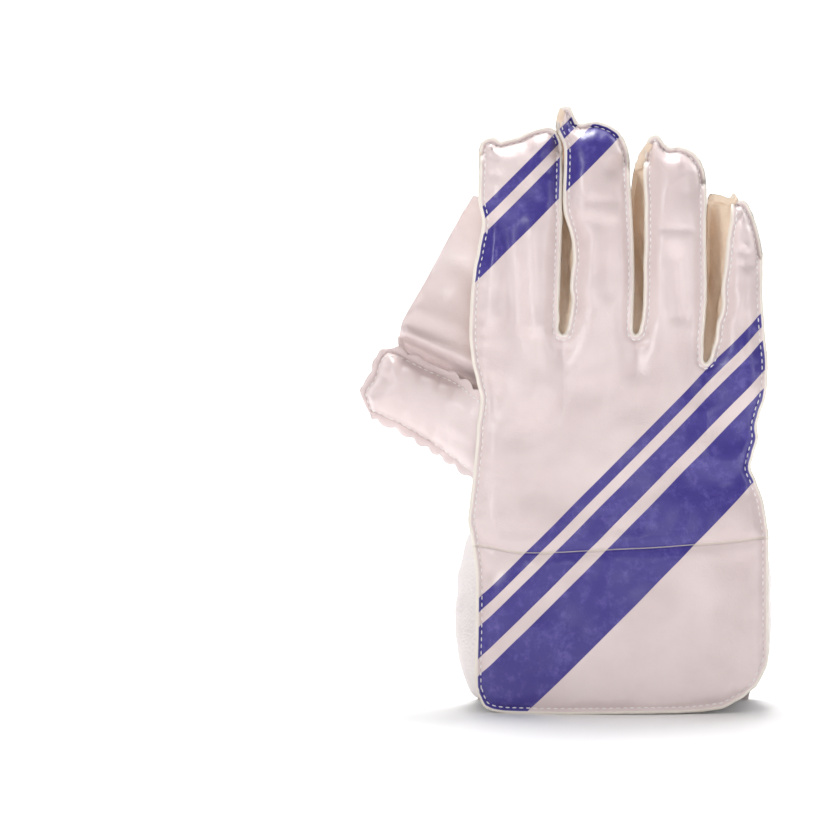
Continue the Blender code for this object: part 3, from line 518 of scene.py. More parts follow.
def thumb_edge(x, upper):
    """Height of the thumb's upper or lower outline at the place x."""
    column, sign = (2, 1) if upper else (1, -1)
    t = np.linspace(0.0, THUMB_LENGTH * smooth(THUMB_TIP, 1.0 if upper else 0.0, 1), 200)
    px, pz = thumb_place(t, sign * THUMB_HALF * smooth(THUMB_LOBES, t / THUMB_LENGTH, column))
    return np.interp(-np.asarray(x, float), -px, pz)


def thumb_seam(t):
    return THUMB_MIDDLE + THUMB_LEAN * np.maximum(0.0, t / THUMB_LENGTH)


# Materials


class Nodes:
    """Adds and joins the nodes of one material."""

    def __init__(self, name, roughness, specular=0.5):
        self.material = bpy.data.materials.new(name)
        self.material.use_nodes = True
        self.tree = self.material.node_tree
        self.shader = self.tree.nodes["Principled BSDF"]
        self.shader.inputs["Roughness"].default_value = roughness
        self.shader.inputs["Specular IOR Level"].default_value = specular
        self.object_place = self.add("ShaderNodeTexCoord").outputs["Object"]

    def add(self, kind, **settings):
        node = self.tree.nodes.new(kind)
        for key, value in settings.items():
            setattr(node, key, value)
        return node

    def feed(self, socket, value):
        if isinstance(value, bpy.types.NodeSocket):
            self.tree.links.new(value, socket)
        else:
            socket.default_value = value

    def math(self, operation, a, b=0.0):
        node = self.add("ShaderNodeMath", operation=operation)
        for socket, value in zip(node.inputs, (a, b)):
            self.feed(socket, value)
        return node.outputs[0]

    def noise(self, scale, detail=3.0, rough=0.5, distortion=0.0):
        node = self.add("ShaderNodeTexNoise")
        self.feed(node.inputs["Vector"], self.object_place)
        for name, value in (("Scale", scale), ("Detail", detail), ("Roughness", rough),
                            ("Distortion", distortion)):
            node.inputs[name].default_value = value
        return node.outputs["Fac"]

    def cells(self, scale, feature="SMOOTH_F1", place=None):
        node = self.add("ShaderNodeTexVoronoi", feature=feature)
        self.feed(node.inputs["Vector"], place or self.object_place)
        node.inputs["Scale"].default_value = scale
        return node.outputs["Distance"]

    def ramp(self, value, low, high, start=0.0, end=1.0):
        node = self.add("ShaderNodeMapRange", interpolation_type="SMOOTHSTEP")
        for name, item in (("Value", value), ("From Min", low), ("From Max", high),
                           ("To Min", start), ("To Max", end)):
            self.feed(node.inputs[name], item)
        return node.outputs["Result"]

    def blend(self, factor, a, b):
        node = self.add("ShaderNodeMix", data_type="RGBA")
        self.feed(node.inputs[0], factor)
        for socket, value in ((6, a), (7, b)):
            self.feed(node.inputs[socket], (*value, 1.0) if isinstance(value, tuple) else value)
        return node.outputs[2]

    def clouded(self, deep, base, scale, detail=4.0, rough=0.5, high=0.7):
        """Two colours in soft clouds."""
        return self.blend(self.ramp(self.noise(scale, detail, rough), 0.3, high), deep, base)

    def attribute(self, name):
        return self.add("ShaderNodeAttribute", attribute_name=name).outputs["Fac"]

    def place(self):
        node = self.add("ShaderNodeSeparateXYZ")
        self.feed(node.inputs[0], self.object_place)
        return node.outputs

    def bump(self, height, distance, strength, under=None):
        node = self.add("ShaderNodeBump")
        node.inputs["Strength"].default_value = strength
        node.inputs["Distance"].default_value = distance
        self.feed(node.inputs["Height"], height)
        if under is not None:
            self.feed(node.inputs["Normal"], under)
        return node.outputs["Normal"]

    def grained(self, scale, strength=0.5, under=None):
        """The normal of a very fine noise."""
        return self.bump(self.noise(scale), 0.0001, strength, under)

    def finish(self, color, normal, roughness=None):
        self.feed(self.shader.inputs["Base Color"], color)
        self.feed(self.shader.inputs["Normal"], normal)
        if roughness is not None:
            self.feed(self.shader.inputs["Roughness"], roughness)
        return self.material


VINYL = (0.745, 0.632, 0.624)
VINYL_DEEP = (0.665, 0.552, 0.544)
CREAM = (0.800, 0.735, 0.665)
CREASE_BROWN = (0.560, 0.500, 0.350)
BLUE = (0.048, 0.034, 0.235)
# lighter blue for a painted sheen in grainy patches of the print
BLUE_PAINTED_SHEEN = (0.110, 0.088, 0.360)
BEIGE = (0.880, 0.725, 0.585)
BEIGE_DEEP = (0.790, 0.630, 0.490)
BEIGE_PALE = (0.900, 0.760, 0.630)
OCHRE = (0.640, 0.300, 0.070)
# painted shade for the grooves between the rubber's ribs
OCHRE_GROOVE_SHADE = (0.500, 0.205, 0.035)
OCHRE_PALE = (0.720, 0.370, 0.100)
# the darker pad and cuff colours give random clouds and the painted shade in the crevices of the
# grain
PAD = (0.700, 0.600, 0.590)
PAD_CLOUD_AND_CREVICE_SHADE = (0.600, 0.500, 0.490)
CUFF = (0.790, 0.730, 0.725)
CUFF_CLOUD_AND_CREVICE_SHADE = (0.700, 0.640, 0.635)
CLOTH = (0.700, 0.680, 0.665)
CLOTH_DEEP = (0.620, 0.600, 0.588)
CLOTH_LINE = (0.540, 0.515, 0.500)
THREAD = (0.880, 0.860, 0.850)
THREAD_DEEP = (0.800, 0.780, 0.760)
STRIPE_BLUR = 0.0001
RIB_PITCH = 1.35      # mm
WEAVE = 5200.0        # radians per metre

# Printed stripes of the back: distance in metres across a 45 degree sash, low and high edge
STRIPES = [(0.015, 0.044), (0.05, 0.061), (0.066, 0.071), (0.182, 0.196), (0.201, 0.206)]


def vinyl(name, striped):
    """Smooth coated vinyl with fine pores, an uneven gloss, lighter grainy patches in the blue
    print that are a painted sheen, and pale raw edges.
    """
    make = Nodes(name, 0.34)
    color = make.clouded(VINYL_DEEP, VINYL, 28.0, high=0.75)
    if striped:
        x, _, z = make.place()
        sash = make.math("MULTIPLY", make.math("SUBTRACT", z, x), math.sqrt(0.5))
        total = 0.0
        for low, high in STRIPES:
            inside = make.math(
                "MULTIPLY", make.ramp(sash, low - STRIPE_BLUR, low + STRIPE_BLUR),
                make.ramp(sash, high - STRIPE_BLUR, high + STRIPE_BLUR, 1.0, 0.0))
            total = inside if total == 0.0 else make.math("ADD", total, inside)
        # painted sheen: lighter grainy patches over the blue print
        ink = make.blend(make.ramp(make.noise(160.0, 5.0, 0.7), 0.45, 0.8), BLUE, BLUE_PAINTED_SHEEN)
        color = make.blend(total, color, ink)
        crease = make.math("ABSOLUTE", make.attribute("crease"))
        color = make.blend(make.ramp(crease, 0.12, 0.38, 0.55, 0.0), color, CREASE_BROWN)
    color = make.blend(make.ramp(make.attribute("rim"), 1.3, 1.7, 1.0, 0.0), color, CREAM)
    patch = make.ramp(make.noise(18.0, 2.0), 0.45, 0.7)
    wrinkle = make.math("MULTIPLY", make.noise(300.0, 5.0, 0.6, 0.8),
                        make.ramp(patch, 0.0, 1.0, 0.35, 1.0))
    normal = make.bump(make.cells(1500.0), 0.00012, 0.35)
    normal = make.bump(wrinkle, 0.0006, 0.5, normal)
    if striped:
        normal = make.bump(make.ramp(crease, 0.2, 1.2), 0.0005, 0.8, normal)
    make.shader.inputs["Coat Weight"].default_value = 0.10
    make.shader.inputs["Coat Roughness"].default_value = 0.18
    return make.finish(color, normal, make.ramp(make.noise(90.0, 4.0), 0.3, 0.7, 0.29, 0.43))


def ribbed_rubber(name):
    """Ochre rubber with fine ribs across the hand and painted shade in the grooves between them."""
    make = Nodes(name, 0.72, 0.3)
    drift = make.math("MULTIPLY", make.noise(30.0, 2.0), 2.2)
    place = make.math("ADD", make.attribute("rib"), drift)
    wave = make.math("SINE", make.math("MULTIPLY", place, math.tau / RIB_PITCH))
    ridge = make.ramp(wave, -0.9, 0.9)
    grain = make.noise(900.0, 4.0, 0.7)
    blotch = make.ramp(make.noise(22.0, 5.0, 0.6), 0.3, 0.75)
    # painted shade: the grooves between the ribs are darkened, with a fine random grain mixed in
    shade = make.math("MULTIPLY", ridge, make.ramp(grain, 0.3, 0.7, 0.55, 1.0))
    color = make.blend(shade, OCHRE_GROOVE_SHADE, OCHRE)
    color = make.blend(make.math("MULTIPLY", blotch, 0.35), color, OCHRE_PALE)
    rim = make.ramp(make.attribute("rim"), 0.5, 0.9, 1.0, 0.0)
    color = make.blend(make.math("MULTIPLY", rim, 0.55), color, CREAM)
    normal = make.bump(ridge, 0.00030, 0.55)
    return make.finish(color, make.bump(grain, 0.00015, 0.5, normal))


def suede(name):
    """Beige split leather with soft wrinkles."""
    make = Nodes(name, 0.62, 0.35)
    creases = make.noise(150.0, 6.0, 0.65, 1.4)
    color = make.clouded(BEIGE_DEEP, BEIGE, 60.0, 5.0, 0.65)
    color = make.blend(make.ramp(creases, 0.52, 0.62, 0.0, 0.35), color, BEIGE_PALE)
    return make.finish(color, make.grained(1400.0, under=make.bump(creases, 0.0008, 0.5)))


def pebbled(name, base, deep, scale=520.0):
    """Leather with a raised pebble grain and painted shade in the crevices between the pebbles."""
    make = Nodes(name, 0.42)
    bend = make.add("ShaderNodeVectorMath", operation="MULTIPLY_ADD")
    make.feed(bend.inputs[0], make.add("ShaderNodeTexNoise").outputs["Color"])
    bend.inputs[1].default_value = (0.0015, 0.0015, 0.0015)
    make.feed(bend.inputs[2], make.object_place)
    cells = make.cells(scale, "F1", bend.outputs[0])
    color = make.clouded(deep, base, 35.0)
    # painted shade: the crevices between the pebbles are darkened
    color = make.blend(make.ramp(cells, 0.45, 0.85, 0.0, 0.25), color, deep)
    return make.finish(color, make.grained(1600.0, 0.4, make.bump(cells, -0.0005, 0.55)))


def twill(name):
    """Matte white backing cloth with a fine diagonal weave."""
    make = Nodes(name, 0.85, 0.2)
    x, _, z = make.place()
    weave = make.math("SINE", make.math("MULTIPLY", make.math("ADD", x, z), WEAVE))
    color = make.clouded(CLOTH_DEEP, CLOTH, 45.0)
    color = make.blend(make.ramp(weave, -1.0, 1.0, 0.0, 0.12), color, CLOTH_LINE)
    return make.finish(color, make.grained(1200.0, 0.4, make.bump(weave, 0.00012, 0.5)))


def thread(name):
    make = Nodes(name, 0.6, 0.3)
    return make.finish(make.clouded(THREAD_DEEP, THREAD, 500.0, 3.0), make.grained(3000.0))


striped_vinyl = vinyl("printed_vinyl", True)
plain_vinyl = vinyl("pale_vinyl", False)
rubber = ribbed_rubber("ribbed_rubber_finish")
leather = suede("beige_suede")
pad_leather = pebbled("pebbled_pad_leather", PAD, PAD_CLOUD_AND_CREVICE_SHADE)
cuff_leather = pebbled("white_cuff_leather", CUFF, CUFF_CLOUD_AND_CREVICE_SHADE, 700.0)
backing = twill("white_backing_cloth")
seam_thread = thread("white_thread")


# Meshes


def make_object(name, points, faces, materials, marks=None, slots=None):
    """A mesh object from points in millimetres, its normals outwards, at the part's origin."""
    mesh = bpy.data.meshes.new(name)
    mesh.from_pydata(((np.asarray(points) + ORIGIN) * MM).tolist(), [], faces)
    for item in materials:
        mesh.materials.append(item)
    if slots is not None:
        mesh.polygons.foreach_set("material_index", slots)
    for key, values in (marks or {}).items():
        mark = mesh.attributes.new(key, "FLOAT", "POINT")
        mark.data.foreach_set("value", np.asarray(values, np.float32))
    work = bmesh.new()
    work.from_mesh(mesh)
    bmesh.ops.recalc_face_normals(work, faces=work.faces)
    work.to_mesh(mesh)
    work.free()
    mesh.shade_smooth()
    mesh.set_sharp_from_angle(angle=SHARP_ANGLE)
    made = bpy.data.objects.new(name, mesh)
    bpy.context.scene.collection.objects.link(made)
    return made


def closed(name, outer, inner, quads, materials, marks=None, split=False):
    """A closed body from two matching sheets of points, joined round every free edge."""
    count = len(outer)
    faces = [tuple(quad) for quad in quads]
    faces += [tuple(n + count for n in reversed(quad)) for quad in quads]
    edges = {(quad[n], quad[(n + 1) % 4]) for quad in quads for n in range(4)}
    rim = [(b, a, a + count, b + count) for a, b in edges if (b, a) not in edges]
    rim.sort()
    slots = [0] * len(quads) + [1 if split else 0] * len(quads) + [0] * len(rim)
    marks = {key: np.concatenate([values, values]) for key, values in (marks or {}).items()}
    return make_object(name, np.concatenate([outer, inner]), faces + rim, materials, marks, slots)


def grid_quads(rows, columns):
    return [(r * columns + c, r * columns + c + 1, (r + 1) * columns + c + 1, (r + 1) * columns + c)
            for r in range(rows - 1) for c in range(columns - 1)]


def turned(grid):
    """Unit normals of a grid of points."""
    down = np.gradient(grid, axis=0)
    along = np.gradient(grid, axis=1)
    normal = np.cross(down, along)
    return normal / np.maximum(np.linalg.norm(normal, axis=2, keepdims=True), 1e-9)


def sheet(name, grid, thickness, materials, marks=None, split=False):
    """A closed body of even thickness behind a grid of outer points."""
    rows, columns = grid.shape[:2]
    inner = grid - turned(grid) * thickness
    return closed(name, grid.reshape(-1, 3), inner.reshape(-1, 3), grid_quads(rows, columns),
                  materials, marks, split)


def layered(name, x, z, outer, inner, materials, marks, split=False):
    """A closed body between two surfaces over the same grid of places."""
    sheets = [np.stack([x, y, z], axis=2).reshape(-1, 3) for y in (outer, inner)]
    return closed(name, *sheets, grid_quads(*x.shape), materials, marks, split)


def unmarked(count):
    return {"rim": np.full(count, FAR_INSIDE)}


def panel_points(side):
    """Grid places of a panel: rows up the hand, then each finger above them."""
    shares = graded(FINGER_SPAN, 2.0)
    last = len(shares) - 1
    rows = graded(side.bottom(0) - float(side.floor(0.0)), 1.9)
    places, keys = [], {}

    def add(key, x, z, k):
        keys[key] = len(places)
        places.append((x, z, k))

    quads = []
    for k in range(4):
        low, high = side.bottom(max(k - 1, 0)), side.bottom(min(k, 2))
        top = mix(low, high, shares)
        nominal = side.finger_limits(20.0, k)
        floor = side.floor(mix(nominal[0], nominal[1], shares))
        for j, u in enumerate(shares):
            if k > 0 and j == 0:
                continue
            z = mix(floor[j], top[j], rows)
            left, right = side.finger_limits(z, k)
            for i, (px, pz) in enumerate(zip(mix(left, right, u), z)):
                add(("hand", k * last + j, i), float(px), float(pz), k)
        reach = HEIGHT * max(row.height for row in side.tips[k]) - min(low, high)
        levels = graded(reach, 1.8)
        for j, u in enumerate(shares):
            x_low, z_low = side.corner(k, 0)
            x_high, z_high = side.corner(k, 1)
            tip_x = mix(x_low, x_high, u)
            tip_z = float(side.tip(tip_x, k))
            z = mix(top[j], tip_z, levels)
            left, right = side.finger_limits(z, k)
            x = mix(left, right, u)
            x = x + (tip_x - x[-1]) * ease(0.80, 1.0, levels)
            for i in range(1, len(levels)):
                add((k, j, i), float(x[i]), float(z[i]), k)
        for j in range(last):
            column = k * last + j
            for i in range(len(rows) - 1):
                quads.append([("hand", column, i), ("hand", column + 1, i),
                              ("hand", column + 1, i + 1), ("hand", column, i + 1)])
            for i in range(len(levels) - 1):
                quads.append([("hand", k * last + a, len(rows) - 1) if b == 0 else (k, a, b)
                              for a, b in ((j, i), (j + 1, i), (j + 1, i + 1), (j, i + 1))])
    order = [[keys[key] for key in quad] for quad in quads]
    return np.array(places), order


def panel(name, side, materials, rib=False):
    places, quads = panel_points(side)
    x, z, finger = places.T
    outer, inner, inset = np.zeros(len(x)), np.zeros(len(x)), np.zeros(len(x))
    for k in range(4):
        mine = finger == k
        outer[mine], inner[mine], inset[mine] = side.lips(x[mine], z[mine], k)
    marks = {"rim": inset, "crease": above_crease(x, z)}
    if rib:
        marks["rib"] = z + 0.9 * ripple(x, z, 60.0, 31)
    return closed(name, np.stack([x, outer, z], axis=1), np.stack([x, inner, z], axis=1), quads,
                  materials, marks, True)


def hole_cutter():
    """A prism in the outline of the palm's thumb hole."""
    def rim(rows):
        return [thumb_place(THUMB_LENGTH * along, THUMB_HALF * across) for along, across in rows]

    end = [THUMB_HALF * w for w in np.linspace(-1.0, 0.95, 9)]
    start = [thumb_place(thumb_facing_start(q) - 1.2, q) for q in end]
    outline = rim(HOLE_BELOW) + start + rim(HOLE_ABOVE)
    outline = resample(outline + outline[:1], 1.5)[:-1]
    count = len(outline)
    points = [(x, y, z) for y in (0.0, HOLE_RISE) for x, z in outline]
    faces = [tuple(range(count)), tuple(reversed(range(count, 2 * count)))]
    faces += [(n, n + count, (n + 1) % count + count, (n + 1) % count) for n in range(count)]
    return make_object("hole_cutter", points, faces, [rubber])


def cut_hole(body):
    cutter = hole_cutter()
    cut = body.modifiers.new("thumb_hole", "BOOLEAN")
    cut.operation, cut.solver, cut.object = "DIFFERENCE", "EXACT", cutter
    flatten(body)
    bpy.data.objects.remove(cutter, do_unlink=True)


def flatten(body):
    """Apply a body's modifiers."""
    held = bpy.context.evaluated_depsgraph_get()
    mesh = bpy.data.meshes.new_from_object(body.evaluated_get(held))
    old, body.data = body.data, mesh
    body.modifiers.clear()
    bpy.data.meshes.remove(old)


# Sewn walls between the two panels


def sewn_wall(name, paths, k_of, material, seed, bulge=None, thickness=LEATHER):
    """A wall with sewn lips under both panels' edges. Its inside lies right of the path, seen from
    the back; k_of gives the finger that each point of the path belongs to."""
    sections = []
    for path, side in zip(paths, (BACK, PALM)):
        tangent = np.gradient(path, axis=0)
        tangent /= np.linalg.norm(tangent, axis=1, keepdims=True)
        inward = np.stack([tangent[:, 1], -tangent[:, 0]], axis=1)
        for _ in range(3):
            inward[1:-1] = (inward[:-2] + 2 * inward[1:-1] + inward[2:]) / 4
        rows = []
        for inset, under in LIP_ROWS:
            if side is PALM:
                under -= PALM_LIP_RISE
            place = path + inward * inset
            y = np.zeros(len(path))
            for k in range(4):
                mine = k_of == k
                if mine.any():
                    x, z = place[mine].T
                    lip = side.plain(x, z, k)[0] - under + side.wave(x, z) * (1.0 - inset / 4)
                    y[mine] = middle(z) + side.sign * lip
            rows.append(np.stack([place[:, 0], y, place[:, 1]], axis=1))
        sections.append((np.array(rows), inward))
    (back, inward), (palm, palm_inward) = sections
    body = []
    for step in WALL_STEPS:
        points, both = mix(back[-1], palm[-1], step), mix(inward, palm_inward, step)
        arch = math.sin(math.pi * step)
        soft = 0.9 * ripple(points[:, 2] + points[:, 0], points[:, 1] * 1.6, 17.0, seed)
        if bulge is None:
            shift = soft * arch - 0.8 * arch
        else:
            shift = 0.5 * soft * arch + bulge(points[:, 2]) * arch
        body.append(points - np.stack([both[:, 0] * shift, 0 * shift, both[:, 1] * shift], axis=1))
    grid = np.concatenate([back, np.array(body), palm[::-1]])
    rim = np.full(grid.shape[:2], FAR_INSIDE)
    rim[0] = rim[-1] = 0.0
    return sheet(name, grid, thickness, [material], {"rim": rim.ravel()}), grid


def even_legs(side, slit):
    """Outline of a slit: down its left edge, round the bottom and up its right edge."""
    shares = np.linspace(0.0, 1.0, GUSSET_LEG) ** 1.35
    legs = []
    for k, column in ((slit, 1), (slit + 1, 0)):
        points = side.leg(k, column, 400)
        gaps = lengths(points)
        legs.append(along_path(points, gaps, shares * (gaps[-1] - 0.8)))
    # The wall's top runs along the palm's wider fingertip to the back panel's corner
    k = slit + 1
    low, high = side.corner(k, 0)[0], BACK.corner(k, 0)[0] + 2.0
    x = np.linspace(max(low, high - 2.0) if side is BACK else low, high, TOP_POINTS + 1)[1:]
    top = np.stack([x, side.tip(x, k) - 0.4], axis=1)
    return np.concatenate([legs[0][::-1], legs[1][1:], top])


def finger_gusset(slit):
    k_of = np.r_[np.full(GUSSET_LEG, slit), np.full(GUSSET_LEG - 1 + TOP_POINTS, slit + 1)]
    paths = [even_legs(side, slit) for side in (BACK, PALM)]
    return sewn_wall(f"gusset_leather_{slit + 1}", paths, k_of, leather, 40 + slit)


def edge_path(side, column, low, high):
    z = np.linspace(low, high, SIDE_POINTS)
    x = side.finger_limits(z, 3 * column)[column]
    if side is BACK:
        corner = [row for row in BACK_HEM if (row.across > 0.75 if column else row.across < -0.8)]
        corner.sort(key=lambda row: row.height)
        heights, places = [row.height for row in corner], [row.across for row in corner]
        hem_x = HALF_WIDTH * np.interp(z / HEIGHT, heights, places)
        x = np.where(z < HEIGHT * corner[-1].height, hem_x, x)
    points = np.stack([x, z], axis=1)
    return points[::-1] if column else points


def side_leather(name, column, low, high, material, seed, bulge=None, thickness=LEATHER):
    paths = [edge_path(side, column, low, high) for side in (BACK, PALM)]
    k_of = np.full(SIDE_POINTS, 3 * column)
    return sewn_wall(name, paths, k_of, material, seed, bulge, thickness)[0]


# Thumb


def thumb_facing_start(q):
    w = q / THUMB_HALF
    return 0.08 * THUMB_LENGTH * w * w + 0.8


def thumb_back_start(q):
    return (thumb_place(0.0, q)[0] - THUMB_BACK_EDGE) / math.cos(THUMB_SLOPE)


def scallop(s):
    """Small even waves of the thumb's gathered edge."""
    return np.abs(np.sin(math.pi * s / 9.0 + 0.5 * np.sin(s / 9.0)))


def thumb_half(name, sign, start, join, materials, tuck=0.0):
    """One padded half of the thumb with its scalloped raw edge; tuck is how far it starts back,
    under the panel that it is sewn to. The front half has ribs."""
    back = sign < 0
    columns = graded(2 * THUMB_HALF, 1.5)
    rows = graded(96.0, 1.5, start=False)
    u, share = np.meshgrid(columns, rows)
    w = 2 * u - 1
    begin = start(w * THUMB_HALF) - tuck
    end = THUMB_LENGTH * smooth(THUMB_TIP, u, 1)
    t = mix(begin, end, share)
    lobe = t / THUMB_LENGTH
    reach = np.where(w < 0, smooth(THUMB_LOBES, lobe, 1), smooth(THUMB_LOBES, lobe, 2))
    q = THUMB_HALF * mix(-smooth(THUMB_LOBES, lobe, 1), smooth(THUMB_LOBES, lobe, 2), u)
    side_inset, tip_inset = (1 - np.abs(w)) * THUMB_HALF * reach, end - t
    inset, on_side = np.minimum(side_inset, tip_inset), side_inset < tip_inset
    around = np.where(on_side, t * np.sign(w), THUMB_LENGTH + q)
    edge = 1 - ease(0.0, 4.0, inset)
    wave = scallop(around) * 2.1 * edge
    q = q + np.where(on_side, np.sign(w) * wave, 0.0)
    t = t + np.where(on_side, 0.0, wave * (1 - ease(0.0, 2.0, 2.0 - share)))
    x, z = thumb_place(t, q)
    shape = np.clip((inset - FLANGE) / 15.0, 0.0, 1.0)
    depth = 2.6 + (THUMB_DEPTH / 2 - 2.6) * np.sqrt(1 - (1 - shape) ** 2)
    gathers = (scallop(around) - 0.6) * ease(2.5, 5.0, inset) * (1 - ease(5.0, 13.0, inset))
    lift = smooth(PALM_SEAM, inset, 1) + 1.5 * gathers + 0.6 * ripple(x, z, 22.0, 61)
    for fold in THUMB_FOLDS if back else ():
        far = (q - fold.across - fold.lean * t) / fold.width
        lift += fold.height * np.exp(-far ** 2) * (1 - ease(fold.start, fold.end, t))
    outer = thumb_seam(t) + sign * (depth + lift * ease(-1.0, 3.0, inset + 2.0))
    lip = np.minimum(depth + smooth(PALM_SEAM, inset, 2), depth + lift - 0.9)
    inner = thumb_seam(t) + sign * lip
    blend = 1 - ease(0.0, JOIN_SHARE * THUMB_LENGTH, t - begin)
    outer = mix(outer, join(x, z), blend)
    inner = mix(inner, join(x, z) - sign * 2.2, blend)
    dip = sign * TUCK_DEPTH * (1 - ease(0.6 * tuck, 1.7 * tuck, t - begin)) if tuck else 0.0
    marks = {"rim": np.maximum(inset, FAR_INSIDE * (1.0 if back else blend)).ravel()}
    if not back:
        marks["rib"] = (t + 0.8 * ripple(x, z, 50.0, 33)).ravel()
    return layered(name, x, z, outer - dip, inner - dip, materials, marks, True)


def thumb_outline(start):
    """A path inside the thumb's raw edge: up its lower side, round the tip and back."""
    def side(sign, column, cut):
        end = THUMB_LENGTH * float(smooth(THUMB_TIP, column - 1.0, 1)) - cut
        along = mix(float(start(sign * THUMB_HALF)) + 2.0, end, np.linspace(0.0, 1.0, 80))
        lobes = smooth(THUMB_LOBES, along / THUMB_LENGTH, column)
        across = sign * (THUMB_HALF * lobes - FLANGE)
        return [thumb_place(*place) for place in zip(along, across)]

    tip = [thumb_place(THUMB_LENGTH * float(smooth(THUMB_TIP, u, 1)) - FLANGE,
                       (2 * u - 1) * (THUMB_HALF * 0.9)) for u in np.linspace(0.10, 0.90, 24)]
    return np.array(side(-1, 1, 4.0) + tip + side(1, 2, 3.0)[::-1])


def thumb_collar(name, upper):
    """The white wall between the palm's hole and one side of the thumb, tucked under both."""
    side = 1.0 if upper else -1.0
    rows = sorted(HOLE_ABOVE if upper else HOLE_BELOW)
    along = np.linspace(rows[0][0], COLLAR_END[upper], 60)[:, None]
    across = np.linspace(0.0, 1.0, 8)
    far = smooth(rows, along, 1) + 0.05 * side
    near = side * (smooth(THUMB_LOBES, along, 2 if upper else 1) - 0.16)
    t, q = THUMB_LENGTH * along + 0 * across, THUMB_HALF * mix(far, near, across)
    x, z = thumb_place(t, q)
    palm = middle(z) + PALM.plain(x, z, 0)[0]
    root = 1 - ease(0.0, JOIN_SHARE * THUMB_LENGTH, t - thumb_facing_start(q) + THUMB_TUCK)
    y = mix(palm - 3.9, mix(thumb_seam(t) - 1.0, palm - 7.6, root), np.sqrt(across))
    grid = np.stack([x, y, z], axis=2)
    return sheet(name, grid, COLLAR_LEATHER, [cuff_leather], unmarked(t.size))


# Web


def index_wall_x(z, y):
    ends = []
    for side in (BACK, PALM):
        x = side.limits(z)[0] + FLANGE + 0.4
        plain = side.plain(x, z, 0)[0]
        ends.append((x, middle(z) + side.sign * (plain - 4.6)))
    (back_x, back_y), (palm_x, palm_y) = ends
    return mix(back_x, palm_x, (y - back_y) / (palm_y - back_y))


def web_sheet():
    """The sheet between the index finger and the thumb, with the deep fold that it takes on."""
    rows, columns = 90, 44
    v, u = np.meshgrid(np.linspace(0, 1, rows), np.linspace(0, 1, columns), indexing="ij")
    z_right = mix(HEIGHT * WEB_TOP, float(thumb_edge(THUMB_BACK_EDGE, True)), v)
    y_right = middle(z_right) + WEB_SEAM * HAND_DEPTH
    x_right = index_wall_x(z_right.ravel(), y_right.ravel()).reshape(v.shape) - 0.9
    edge = [(n, *point) for n, point in enumerate(WEB_EDGE)]
    place = v * (len(WEB_EDGE) - 1)
    x_left, z_left = HALF_WIDTH * smooth(edge, place, 1), HEIGHT * smooth(edge, place, 2)
    x, z = mix(x_right, x_left, u), mix(z_right, z_left, u)
    foot = thumb_edge(x, True) + 0.8
    z = np.maximum(z, foot + 1.2 * (1 - v) * 10.0 * (v > 0.9))
    z = mix(z, foot, ease(0.94, 1.0, v))
    y_left = thumb_seam(0.9 * THUMB_LENGTH)
    fold = 6.0 * np.sin(2.2 * math.pi * v - 0.6 * u) * np.sin(math.pi * v) * u
    ridge = -5.0 * np.exp(-((v - 0.86) / 0.055) ** 2) + 4.0 * np.exp(-((v - 0.96) / 0.04) ** 2)
    ridge += -2.2 * np.exp(-((v - 0.70 + 0.05 * u) / 0.05) ** 2) * u
    soft = 0.8 * ripple(x, z, 26.0, 71)
    hold = ease(0.0, 0.10, u) * ease(0.0, 0.06, 1 - u) * ease(0.0, 0.05, 1 - v)
    y = mix(y_right, y_left, u) + fold + (ridge + soft) * hold
    grid = np.stack([x, y, z], axis=2)
    return sheet("web_sheet", grid, -1.4, [plain_vinyl, backing], unmarked(v.size), True), grid


# Cuff


def palm_base(x, z):
    """Distance of the palm side of the cuff from the middle, all in one curve."""
    return PALM.full_depth(x, z, 1)


def cuff_grid(low, high, rows):
    u, v = np.meshgrid(graded(CUFF_SPAN, CUFF_STEP), rows)
    z = mix(low(u), high, v)
    left, right = PALM.limits(z)
    return u, v, mix(left, right, u), z


def cuff_band():
    foot = PAD_HEIGHT + BAND_GAP
    _, v, x, z = cuff_grid(lambda s: foot + 0 * s, foot + BAND_HEIGHT, np.linspace(0, 1, 9))
    base = palm_base(x, z)
    round_off = np.sqrt(np.clip(1 - (2 * v - 1) ** 4, 0, 1))
    outer = base - 1.6 + 1.5 * round_off + 0.35 * ripple(x, z, 14.0, 81)
    return layered("cuff_band_strip", x, z, outer, base - 3.0, [cuff_leather], unmarked(v.size))


def pad_arch(u):
    t = np.clip((u - 0.08) / 0.84, 0.0, 1.0)
    return 0.030 * HEIGHT * np.sin(math.pi * t) ** 1.3


def pad_swell(u, v):
    return (1 - np.abs(2 * u - 1) ** 3) ** 0.7 * (1 - np.abs(2 * v - 1) ** 3) ** 0.6


def coordinates(mesh):
    found = np.empty(len(mesh.vertices) * 3)
    mesh.vertices.foreach_get("co", found)
    return found.reshape(-1, 3)


